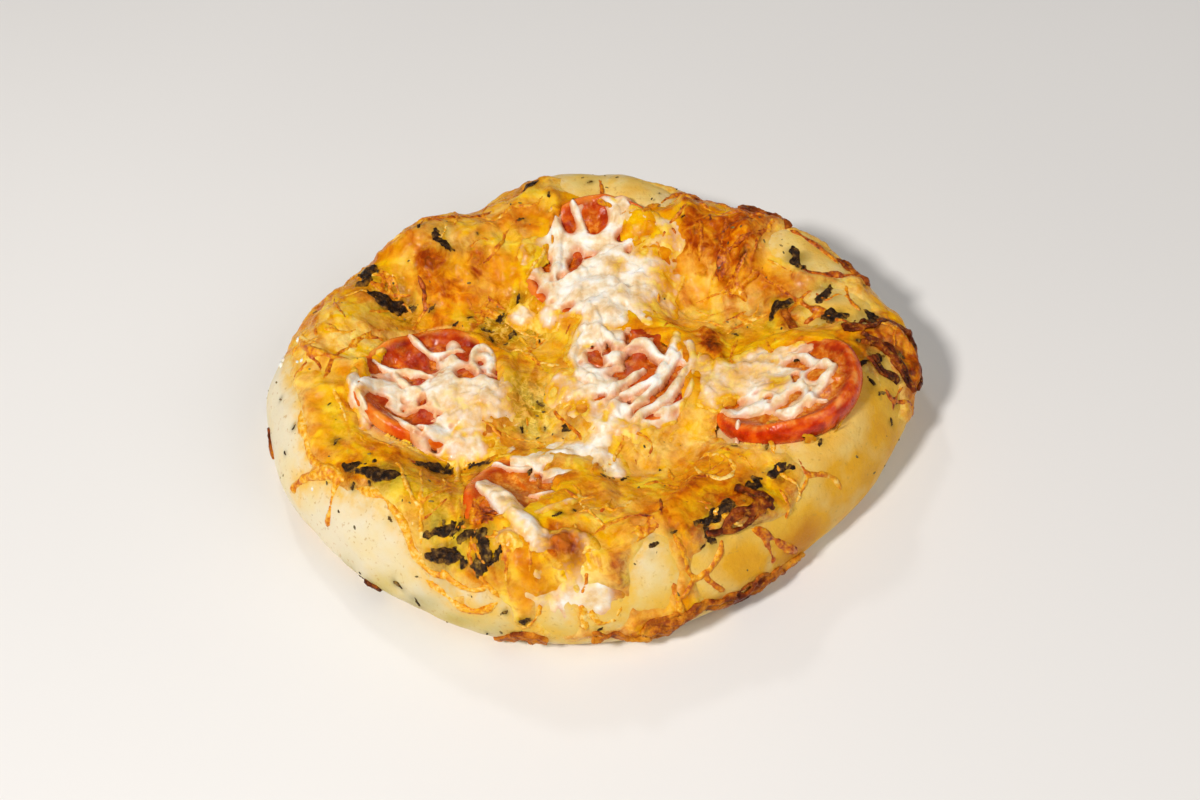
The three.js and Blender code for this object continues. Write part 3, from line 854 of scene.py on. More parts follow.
# How strongly the dough is toasted behind, at the foot and underneath.
BACK_TOAST, FOOT_TOAST, BASE_TOAST = 0.38, 0.36, 0.3


def disc_grid(cells):
    """A square grid drawn out to a disc of radius 1."""
    line = np.linspace(-1, 1, cells + 1)
    a, b = np.meshgrid(line, line, indexing="ij")
    flip = np.abs(a) > np.abs(b)
    big, small = np.where(flip, a, b), np.where(flip, b, a)
    lean = math.pi / 4 * small / np.where(np.abs(big) < TINY, 1, big)
    p, q = big * np.cos(lean), big * np.sin(lean)
    return np.where(flip, p, q), np.where(flip, q, p)


def dough_piece(cover):
    x, y = disc_grid(DOUGH_CELLS)
    angle = np.arctan2(y, x)
    run = np.hypot(x, y) * skin_end(angle)
    u, v = run * np.cos(angle), run * np.sin(angle)
    skin, _ = dough_skin(u, v)
    toast = patch(u, v, DOUGH_TOAST) + 0.05 * noise(skin, 12, 21)
    back = smooth((skin[..., 1] - 25) / 50) * smooth((36 - skin[..., 2]) / 26)
    behind = back * (0.85 + 0.5 * noise(skin, 16, 22))
    foot = smooth((7 - skin[..., 2]) / 6)
    masks = {
        "toast": np.maximum.reduce((toast, BACK_TOAST * behind, FOOT_TOAST * foot)),
        "green": patch(u, v, DOUGH_GREEN),
        "gild": 0.9 * smooth((cover.read(u, v) + 7) / 8),
        "stain": leaf_stain(u, v),
    }
    masks = {key: np.append(m.ravel(), BASE_TOAST if key == "toast" else 0) for key, m in masks.items()}
    number = numbered(u)
    quads = np.stack([k.ravel() for k in corners(number)], 1)
    ring = np.concatenate((number[:-1, 0], number[-1, :-1], number[:0:-1, -1], number[0, :0:-1]))
    base = np.stack((np.roll(ring, -1), ring, np.full(len(ring), u.size)), 1)
    points = np.vstack((skin.reshape(-1, 3), (0, 0, 0)))
    return make_piece("baked_dough", points, (quads, base), DOUGH, masks)


# The golden sheet of melted cheese. Its border is given in picture points along the front and the sides.
# Round the back, where no picture point reaches, it is given by direction and distance over the crest.
SHEET_BORDER = (
    (286, 366), (300, 400), (302, 425), (306, 452), (312, 470), (294, 492), (318, 484), (345, 496), (368, 496),
    (390, 508), (404, 527), (411, 546), (421, 566), (436, 582), (452, 596), (472, 612), (490, 612), (506, 606),
    (520, 632), (560, 640), (600, 640), (650, 634), (700, 612), (716, 588), (712, 560), (722, 540), (748, 530),
    (788, 524), (803, 500), (806, 468), (790, 444), (820, 440), (850, 405), (866, 372), (880, 385), (893, 420),
    (911, 425), (913, 372),
)
SHEET_BACK = (
    (8, 22), (20, 16), (30, 20), (44, 24), (60, 22), (75, 10), (88, 6), (100, 14), (115, 24), (135, 26), (152, 24),
    (168, 18),
)
# Bare patches inside the border: picture point, half-length, half-width and turn in millimetres.
BARE_PATCHES = (
    (588, 186, 9, 7, 0), (634, 190, 12, 7.5, -20), (812, 252, 13, 6, -35), (651, 573, 5.2, 8, 0),
    (606, 611, 5, 5, 10), (556, 616, 4, 6, 0), (722, 568, 8, 9, 0), (890, 385, 4, 8, 0), (838, 302, 7, 4, -25),
    (818, 322, 5, 3.5, 0), (446, 584, 7, 3, -30), (482, 600, 6, 4, 10), (858, 316, 4, 3, -30),
)
# Browned, orange, pale and green patches of the sheet: picture point, width, depth and strength.
BROWN_PATCHES = (
    (735, 228, 10, 4, 1.0), (698, 228, 4, 9, 0.9), (720, 240, 5, 6, 1.0), (762, 224, 10, 4, 0.9),
    (680, 200, 8, 4, 0.4), (743, 258, 3, 4, 1.3), (730, 262, 2.5, 8, 0.9), (748, 262, 2, 6, 0.7),
    (830, 275, 10, 3, 0.8), (492, 515, 4, 5, 0.9), (478, 490, 3, 6, 0.6), (890, 345, 7, 9, 0.9),
    (905, 372, 4, 9, 1.0), (868, 345, 6, 5, 0.7), (790, 322, 3, 5, 0.8), (711, 354, 4, 8, 1.3),
    (565, 549, 5, 5, 1.0), (620, 572, 2.5, 6, 0.7), (625, 588, 4, 2, 0.7), (690, 490, 5, 5, 0.6),
    (735, 502, 9, 6, 0.8), (758, 520, 7, 5, 0.8), (705, 535, 7, 4, 0.75), (735, 528, 6, 4, 0.9),
    (792, 500, 3, 6, 0.7), (430, 262, 5, 5, 0.95), (476, 262, 3, 6, 0.75), (450, 292, 8, 4, 0.55),
    (396, 246, 7, 2.5, 0.6), (375, 332, 4, 2, 0.5), (440, 222, 9, 2, 0.7), (548, 182, 3, 3, 0.6),
    (380, 256, 4, 4, 0.5), (300, 408, 3, 7, 0.45), (440, 488, 5, 5, 0.35), (486, 524, 3, 5, 0.5),
    (650, 628, 20, 5, 0.6), (705, 612, 16, 5, 0.7), (560, 638, 14, 4, 0.4), (735, 300, 3, 6, 0.45),
)
ORANGE_PATCHES = (
    (430, 275, 9, 9, 0.9), (475, 268, 8, 7, 0.8), (450, 296, 12, 8, 0.95), (308, 440, 4, 10, 0.5),
    (450, 482, 12, 8, 0.5), (668, 512, 11, 10, 0.85), (695, 480, 8, 6, 0.7), (700, 240, 10, 12, 0.8),
    (735, 245, 14, 12, 0.95), (815, 292, 4, 4, 0.4), (845, 316, 6, 4, 0.5), (520, 560, 8, 8, 0.6),
    (640, 602, 12, 4, 0.85), (540, 230, 6, 6, 0.5), (488, 528, 5, 7, 0.9), (584, 615, 3, 7, 0.6),
    (770, 290, 10, 8, 0.45), (700, 560, 10, 10, 0.5), (600, 600, 10, 8, 0.35), (545, 590, 8, 8, 0.3),
    (480, 590, 10, 8, 0.35), (400, 250, 10, 6, 0.45), (520, 215, 10, 8, 0.4), (880, 340, 12, 12, 0.6),
    (650, 610, 16, 8, 0.55),
)
# The pale patches are partly pale cheese and partly a painted sheen where the sheet is glossy.
PALE_PATCHES = (
    (340, 336, 10, 9, 0.9), (582, 462, 9, 7, 0.6), (302, 366, 8, 9, 0.7), (320, 352, 7, 7, 0.5),
    (495, 215, 6, 4, 0.6), (445, 238, 4, 4, 0.9), (410, 262, 4, 4, 0.5), (535, 205, 5, 5, 0.4),
    (700, 425, 8, 6, 0.45), (582, 586, 7, 8, 1.0), (618, 480, 6, 4, 0.4), (652, 398, 6, 5, 0.4),
    (480, 290, 5, 5, 0.3), (445, 232, 8, 4, 0.35), (470, 225, 6, 3, 0.4), (805, 330, 6, 4, 0.5),
    (660, 315, 8, 6, 0.45), (420, 290, 5, 5, 0.3), (515, 232, 4, 5, 0.3), (640, 550, 6, 6, 0.4),
    (765, 210, 6, 3, 0.4), (560, 610, 6, 6, 0.5), (310, 385, 8, 5, 0.4), (435, 560, 9, 9, 0.35),
    (505, 590, 6, 6, 0.3), (540, 400, 9, 9, 0.6), (545, 432, 10, 7, 0.8), (585, 445, 12, 7, 0.8),
    (545, 350, 8, 6, 0.4), (720, 330, 8, 5, 0.45), (560, 465, 8, 5, 0.5), (650, 450, 10, 8, 0.6),
    (605, 522, 9, 7, 0.4), (625, 508, 8, 6, 0.4), (648, 530, 7, 6, 0.3), (760, 244, 5, 4, 1.1),
    (712, 272, 2.5, 8, 0.9), (694, 272, 3, 6, 0.5), (726, 304, 7, 5, 0.6), (835, 299, 9, 7, 0.9),
    (818, 322, 7, 5, 0.8), (350, 352, 12, 9, 0.75), (700, 440, 14, 8, 0.6), (770, 455, 10, 6, 0.35),
    (745, 310, 9, 7, 0.55), (470, 248, 5, 4, 0.7), (480, 500, 6, 5, 0.5), (690, 300, 8, 6, 0.3),
    (500, 240, 5, 6, 0.4), (650, 472, 10, 6, 0.5), (640, 505, 6, 5, 0.4), (690, 318, 10, 6, 0.5),
)
# The green patches are partly herb oil and partly painted shade in the low places between the slices.
GREEN_PATCHES = (
    (500, 328, 12, 9, 0.9), (530, 335, 8, 6, 0.9), (690, 316, 11, 6, 0.3), (730, 330, 8, 6, 0.4),
    (528, 410, 8, 12, 0.9), (440, 502, 12, 8, 0.4), (350, 425, 9, 10, 0.3), (400, 312, 8, 8, 0.6),
    (545, 480, 8, 6, 0.45), (415, 480, 10, 6, 0.4), (655, 450, 8, 6, 0.3), (380, 290, 7, 7, 0.4),
    (595, 500, 10, 8, 0.08),
)
# Folds in the sheet: height, half-width and a path of picture points.
SHEET_FOLDS = (
    (2.6, 4.0, ((683, 205), (695, 228), (708, 252), (722, 280))),
    (2.6, 3.5, ((738, 218), (748, 250), (742, 278), (732, 300))), (1.8, 3.0, ((700, 225), (730, 222), (770, 228))),
    (2.2, 3.0, ((705, 338), (714, 352), (718, 372))), (2.0, 4.0, ((425, 285), (438, 262), (452, 250))),
    (2.4, 3.5, ((468, 275), (478, 250), (492, 245), (500, 262))),
    (1.4, 3.0, ((400, 250), (430, 232), (460, 236), (490, 228))), (1.6, 3.0, ((505, 222), (520, 205), (540, 190))),
    (1.4, 2.5, ((545, 186), (556, 200), (560, 218))), (1.8, 2.6, ((312, 352), (335, 364), (356, 372))),
    (1.2, 2.2, ((300, 400), (330, 392), (352, 398))), (1.6, 3.0, ((660, 520), (684, 500), (700, 488))),
    (1.6, 3.0, ((705, 540), (735, 522), (765, 500))), (1.5, 2.4, ((555, 560), (575, 545), (598, 556), (612, 580))),
    (1.4, 2.2, ((500, 590), (520, 575), (540, 588))), (1.2, 2.0, ((772, 300), (790, 318), (800, 338))),
    (1.8, 2.6, ((858, 318), (884, 330), (902, 352), (908, 378))), (1.6, 2.2, ((798, 274), (830, 276), (862, 284))),
)
# The sheet is cut into pieces across the loaf, each from one line to another.
SHEET_PARTS = {"back": (22, 200), "middle": (-22, 22), "front": (-200, -22)}
# Waves in the sheet's border, in the edge of the cheese on the slices, and in the sheet: depth, size and seed.
BORDER_WAVES = ((1.6, 7, 31), (0.9, 2.8, 32))
LAP_WAVES = ((1.8, 4, 38), (1.0, 1.8, 39))
SWELL_WAVES = ((0.9, 8, 33), (0.4, 4, 34))
LUMP_WAVES = ((0.25, 2.6, 45), (0.14, 1.2, 35))
# How far the sheet's edge sinks in, how far its underside does, and the least heights of both over the table.
EDGE_DEPTH = 0.6
UNDER_DEPTH = 1.2
TOP_FLOOR, UNDER_FLOOR = 0.4, 0.1
# How far outside its border and short of the foot the sheet is built.
BORDER_ROOM = 1.0
FOOT_ROOM = 1.5
# Shreds melted into the sheet: how many, how far out they lie, how much they stray from the flow,
# and the ranges of their lengths, widths and rises.
SHRED_COUNT = 1300
SHRED_REACH = 110
SHRED_STRAY = 50
SHRED_SIZES = ((4, 11), (0.7, 1.5), (0.2, 0.55))
# How far the sheet laps over the rim of each slice: direction and lap, below zero where the rim lies bare.
SLICE_LAPS = {
    "back": (
        (0, 10), (40, 9), (62, 5), (78, -1), (110, -1), (125, 5), (150, 8), (175, 6), (190, 2), (204, 2), (225, 4),
        (262, 2), (285, 7), (330, 10),
    ),
    "left": (
        (0, 4), (45, 3), (62, 1), (80, -0.5), (125, -0.5), (150, 1.5), (185, 3), (198, -1), (272, -1), (290, 5),
        (305, 8), (335, 7),
    ),
    "middle": (
        (0, 6), (30, 8), (60, 5), (90, 4), (150, 6), (180, 7), (215, 7), (250, 5), (272, 2), (302, 2), (322, 5),
    ),
    "right": (
        (0, -1), (20, -0.5), (45, 2), (65, 5), (90, 10), (120, 15), (150, 17), (170, 13), (184, 5), (196, -1),
        (340, -1),
    ),
    "front": (
        (0, 16), (45, 14), (80, 7), (110, 2), (135, 0.5), (180, 0.5), (205, 2), (225, 8), (250, 15), (300, 19),
        (335, 18),
    ),
}

# How many steps the lapped rims are widened before they are smoothed.
LAP_GROWTH = 6


def slice_rise():
    """How far the slices stand over the dough, with cheese pooled round the rims that it laps over."""
    x, y = SHEET_U, SHEET_V
    rise, lapped = np.zeros_like(x), np.zeros_like(x)
    for name, (cx, cy, radius, _, _) in SLICES.items():
        cut = window(x, y, (cx - radius, cy - radius), (cx + radius, cy + radius))
        near = np.hypot(x[cut] - cx, y[cut] - cy) < radius - 0.3
        stand = np.where(near, slice_top(name, x[cut], y[cut])[0] - dough_height(x[cut], y[cut]), 0)
        rise[cut] = np.maximum(rise[cut], stand)
        lapped[cut] = np.maximum(lapped[cut], stand * smooth((rim_lap(name, x[cut], y[cut]) + 1) / 4))
    for _ in range(LAP_GROWTH):
        sides = [np.roll(lapped, step, axis) for step in (-1, 1) for axis in (0, 1)]
        lapped = np.maximum.reduce([lapped, *sides])
    return Layer(np.maximum.reduce((blurred(rise, 1.2), 1.1 * blurred(lapped, 12), blurred(lapped, 4))))


def rim_lap(name, x, y):
    """How far the sheet laps over a slice's rim in the direction of a point."""
    at, lap = np.array(SLICE_LAPS[name], float).T
    angle = np.degrees(np.arctan2(y - SLICES[name][1], x - SLICES[name][0]))
    return np.interp(angle % 360, at, lap, period=360)


# How ripe each slice's rim is, and how much juice and cheese veils its upper face.
SLICE_TINTS = {
    "back": (0.5, 0.15),
    "left": (0.15, 0.1),
    "middle": (0.3, 0.35),
    "right": (0.95, 0.75),
    "front": (0.4, 0.85),
}


def sheet_ring():
    front = on_skin(SHEET_BORDER)
    back = []
    for at, past in SHEET_BACK:
        angle = math.radians(at)
        run = float(outline(np.array(angle))) - SHOULDER + past
        back.append((run * math.cos(angle), run * math.sin(angle)))
    ring = np.vstack((front, back))
    return run_through(np.vstack((ring, ring[:1])), 2.0)[:-1]


def shred_flow(x, y):
    """The way that the shreds lie at a place, in degrees."""
    return 200 * float(flat_noise(np.array(x), np.array(y), 45, 46))


def sheet_layers():
    """How far each place lies inside the sheet, the height of the sheet, its large swells, which carry painted
    light on their tops, and the tint of its shreds.
    """
    u, v = SHEET_U, SHEET_V
    inside = inside_ring(u, v, sheet_ring())
    for oval in placed(BARE_PATCHES):
        inside = np.minimum(inside, -oval_distance(u, v, *oval))
    inside += flat_waves(u, v, BORDER_WAVES)
    ragged = flat_waves(u, v, LAP_WAVES)
    lapped = np.zeros(u.shape, bool)
    for name, (x, y, radius, _, _) in SLICES.items():
        out = np.hypot(u - x, v - y)
        bared = out - radius + rim_lap(name, u, v)
        inside = np.minimum(inside, bared + np.where(bared < 4, ragged, 9))
        lapped |= out < radius + 1.5
    height = np.zeros_like(u)
    for rise, wide, path in SHEET_FOLDS:
        cut, away = near_path(u, v, run_through(on_skin(path), 1.5), 3 * wide)
        spread = wide * (1 + 0.35 * flat_noise(u[cut], v[cut], 4, 36))
        height[cut] = np.maximum(height[cut], rise * bell(away, spread))
    large = smooth(0.5 + flat_waves(u, v, SWELL_WAVES))
    blister = smooth(0.08 + patch(u, v, BROWN_PATCHES) + 0.5 * patch(u, v, ORANGE_PATCHES))
    height += 0.9 * large + flat_waves(u, v, LUMP_WAVES)
    height += blister * (0.6 * domes(u, v, 3.4, 42) + 0.15 * domes(u, v, 1.7, 43))
    heading = shred_flow, SHRED_STRAY
    shreds, tint = shred_relief(u, v, SHRED_COUNT, 41, (0, 0), SHRED_REACH, heading, SHRED_SIZES)
    thick = 0.15 + height + shreds
    run_out = np.where(lapped, 2.4, 5.0)
    lift = (EDGE_DEPTH + np.maximum(thick, -0.1)) * smooth((inside + BORDER_ROOM) / run_out) - EDGE_DEPTH
    return Layer(inside), Layer(lift), {"swell_light": large, "tint": tint}


def ground_layer(cover, lift, rise):
    """Height over the dough of what the loose toppings lie on, nowhere below zero."""
    sheet = np.where(cover.values > -BORDER_ROOM, rise.values + lift.values, 0)
    return Layer(np.maximum.reduce((sheet, rise.values, np.zeros_like(sheet))))


def shred_relief(u, v, count, seed, middle, reach, heading, sizes):
    """Welts where single shreds of cheese have melted in, one over the other, and the tint of the uppermost.

    heading is a direction, or a function that gives one, and a spread."""
    draw = np.random.default_rng(seed)
    relief, tints = np.zeros_like(u), np.zeros_like(u)
    for _ in range(count):
        turn, out = draw.uniform(0, 2 * math.pi), reach * math.sqrt(draw.random())
        x, y = middle[0] + out * math.cos(turn), middle[1] + out * math.sin(turn)
        towards = heading[0](x, y) if callable(heading[0]) else heading[0]
        way = math.radians(towards + heading[1] * draw.uniform(-1, 1))
        bend, tint = draw.uniform(-0.05, 0.05), draw.uniform(-1, 1)
        long, wide, rise = (draw.uniform(*s) for s in sizes)
        room = long + 3
        cut = window(u, v, (x - room, y - room), (x + room, y + room))
        p = (u[cut] - x) * math.cos(way) + (v[cut] - y) * math.sin(way)
        q = (v[cut] - y) * math.cos(way) - (u[cut] - x) * math.sin(way) - bend * p * p
        shape = np.clip(1 - (q / (1.5 * wide)) ** 2, 0, 1) * smooth((long - np.abs(p)) / 4)
        below = 0.8 * relief[cut] * shape + relief[cut] * (1 - shape)
        relief[cut] = soft_max(below, rise * np.sqrt(shape), 0.15)
        tints[cut] += (tint - tints[cut]) * smooth(1.4 * shape)
    return relief, tints


def leaf_stain(u, v):
    """Dark stains in the cheese and the dough round the leaves."""
    spots = [(x, y, 0.55 * long) for x, y, long, _, _ in LEAVES]
    spots += [(x, y, 0.5 * long) for x, y, long in placed(SCRAPS, SCRAP_LIFT)]
    total = np.zeros_like(u)
    for x, y, size in spots:
        total = np.maximum(total, 0.75 * bell(np.hypot(u - x, v - y), size))
    return total * smooth(0.55 + flat_noise(u, v, 3, 44))


def sheet_pieces(cover, lift, rise, looks):
    u, v, inside = SHEET_U, SHEET_V, cover.values
    skin, out = dough_skin(u, v)
    up = out * rise.values[..., None]
    top = skin + up + out * lift.values[..., None]
    under = skin + up - out * UNDER_DEPTH
    top[..., 2] = np.maximum(top[..., 2], TOP_FLOOR)
    under[..., 2] = np.maximum(under[..., 2], UNDER_FLOOR)
    keep = whole_cells((inside > -BORDER_ROOM) & (np.hypot(u, v) < skin_end(np.arctan2(v, u)) - FOOT_ROOM))
    crest = lift.values - blurred(lift.values, 3)
    orange = patch(u, v, ORANGE_PATCHES)
    # Painted light: pale is added on the tops of the large swells.
    lit_swell_tops = np.maximum(0, flat_noise(u, v, 10, 37)) * smooth((looks["swell_light"] - 0.3) / 0.5)
    masks = {
        "brown": patch(u, v, BROWN_PATCHES) + 0.35 * np.clip(crest, 0, 1),
        "orange": orange,
        "pale": patch(u, v, PALE_PATCHES) + 0.25 * lit_swell_tops,
        "green": patch(u, v, GREEN_PATCHES) * smooth((2.4 - lift.values) / 1.6),
        "bare": (1 - smooth(inside / 6.0)) * (rise.values < 0.5) * (1 - smooth(orange)),
        "stain": leaf_stain(u, v),
        **looks,
    }
    facing = unit(np.cross(np.gradient(top, axis=0), np.gradient(top, axis=1)))
    masks.update(zip("xyz", np.moveaxis(facing, -1, 0)))
    middle = 0.5 * (v[:-1, :-1] + v[1:, 1:])
    for part, (low, high) in SHEET_PARTS.items():
        points, faces, picked = slab(keep & (middle > low) & (middle <= high), top, under, masks)
        normals = np.stack([picked.pop(axis) for axis in "xyz"], 1)
        normals[len(normals) // 2:] *= -1
        piece = make_piece("melted_sheet_" + part, points, faces, GOLDEN, picked, flat_last=True)
        piece.data.normals_split_custom_set_from_vertices(normals.tolist())
        place(piece, "golden_cheese", "melted_cheese")


# Tomato slices.
SLICE_AROUND = 200
SLICE_RINGS = 46
# Inset and drop of the rings down the side of a slice.
SLICE_SIDE = ((0.75, 0.35), (0.35, 1.0), (0.1, 1.9), (0.0, 2.9), (0.15, 4.0), (0.7, 5.4), (3, 5.6))
# How far a slice's outline runs in and out, as a share, and how deep the slice reaches into the dough.
SLICE_RAGGED = 0.025
SLICE_SUNK = 0.8
# Waves in a slice's upper face: depth, size and seed.
SLICE_WAVES = ((0.45, 5, 51), (0.2, 2, 52))


def slice_top(name, x, y):
    """Height of a slice's upper face, and how much of it is pulp. The rim is low where the sheet laps over it."""
    cx, cy, radius, lift_at, lift_by = SLICES[name]
    angle = np.arctan2(y - cy, x - cx)
    out = np.hypot(x - cx, y - cy) / (1 + SLICE_RAGGED * np.sin(3 * angle + cx))
    rim = bell(out - (radius - 2.6), 2.3) * (1 - 0.9 * smooth((rim_lap(name, x, y) + 1) / 5))
    spokes = smooth(0.5 + 1.6 * np.cos(5 * angle + 0.7 * cx))
    pulp = spokes * smooth((out - 0.22 * radius) / 2.5) * smooth((0.80 * radius - out) / 2.5)
    points = flat(x, y)
    height = SLICE_THICKNESS * (0.74 + 0.24 * rim) - 1.3 * pulp
    height += lift_by * rim * smooth(0.2 + np.cos(angle - math.radians(lift_at)))
    height += 0.7 * noise(points, 13, 53) + 0.8 * rim * noise(points, 5.5, 54)
    height += waves(points, SLICE_WAVES)
    return dough_height(x, y) + GAP + height, pulp


def slice_piece(name):
    cx, cy, radius, _, _ = SLICES[name]
    insets, drops = np.array(SLICE_SIDE).T
    outs = np.concatenate((np.linspace(0.02, 1, SLICE_RINGS) * (radius - 1.3), radius - insets))
    a, r = np.meshgrid(np.linspace(0, 2 * math.pi, SLICE_AROUND, endpoint=False), outs)
    ragged = 1 + SLICE_RAGGED * np.sin(3 * a + cx)
    x, y = cx + r * ragged * np.cos(a), cy + r * ragged * np.sin(a)
    z, pulp = slice_top(name, x, y)
    last = SLICE_RINGS - 1
    depth = z[last] - dough_height(x[last], y[last]) + SLICE_SUNK
    z[SLICE_RINGS:] = z[last] - drops[:, None] * depth / drops[-1]
    ripe, veil = SLICE_TINTS[name]
    masks = {
        "skin": smooth((r - (radius - 4.2)) / 2.4),
        "side": smooth((r - (radius - 2.0)) / 1.2),
        "pulp": pulp,
        "ripe": np.full_like(r, ripe),
        "veil": veil * smooth((0.85 * radius - r) / 4),
    }
    masks["side"][SLICE_RINGS:] = 1
    masks["pulp"][SLICE_RINGS:] = 0
    masks = {key: np.append(m.ravel(), m[[0, -1], 0]) for key, m in masks.items()}
    number = numbered(a)
    after = np.roll(number, -1, 1)
    quads = np.stack([k.ravel() for k in (number[:-1], number[1:], after[1:], after[:-1])], 1)
    fan = np.stack((number[0], after[0], np.full(SLICE_AROUND, a.size)), 1)
    base = np.stack((after[-1], number[-1], np.full(SLICE_AROUND, a.size + 1)), 1)
    centre, _ = slice_top(name, np.array([cx], float), np.array([cy], float))
    points = np.vstack((np.stack((x, y, z), -1).reshape(-1, 3), (cx, cy, centre[0]), (cx, cy, z[-1].mean())))
    return make_piece("slice_" + name, points, (quads, fan, base), TOMATO, masks)


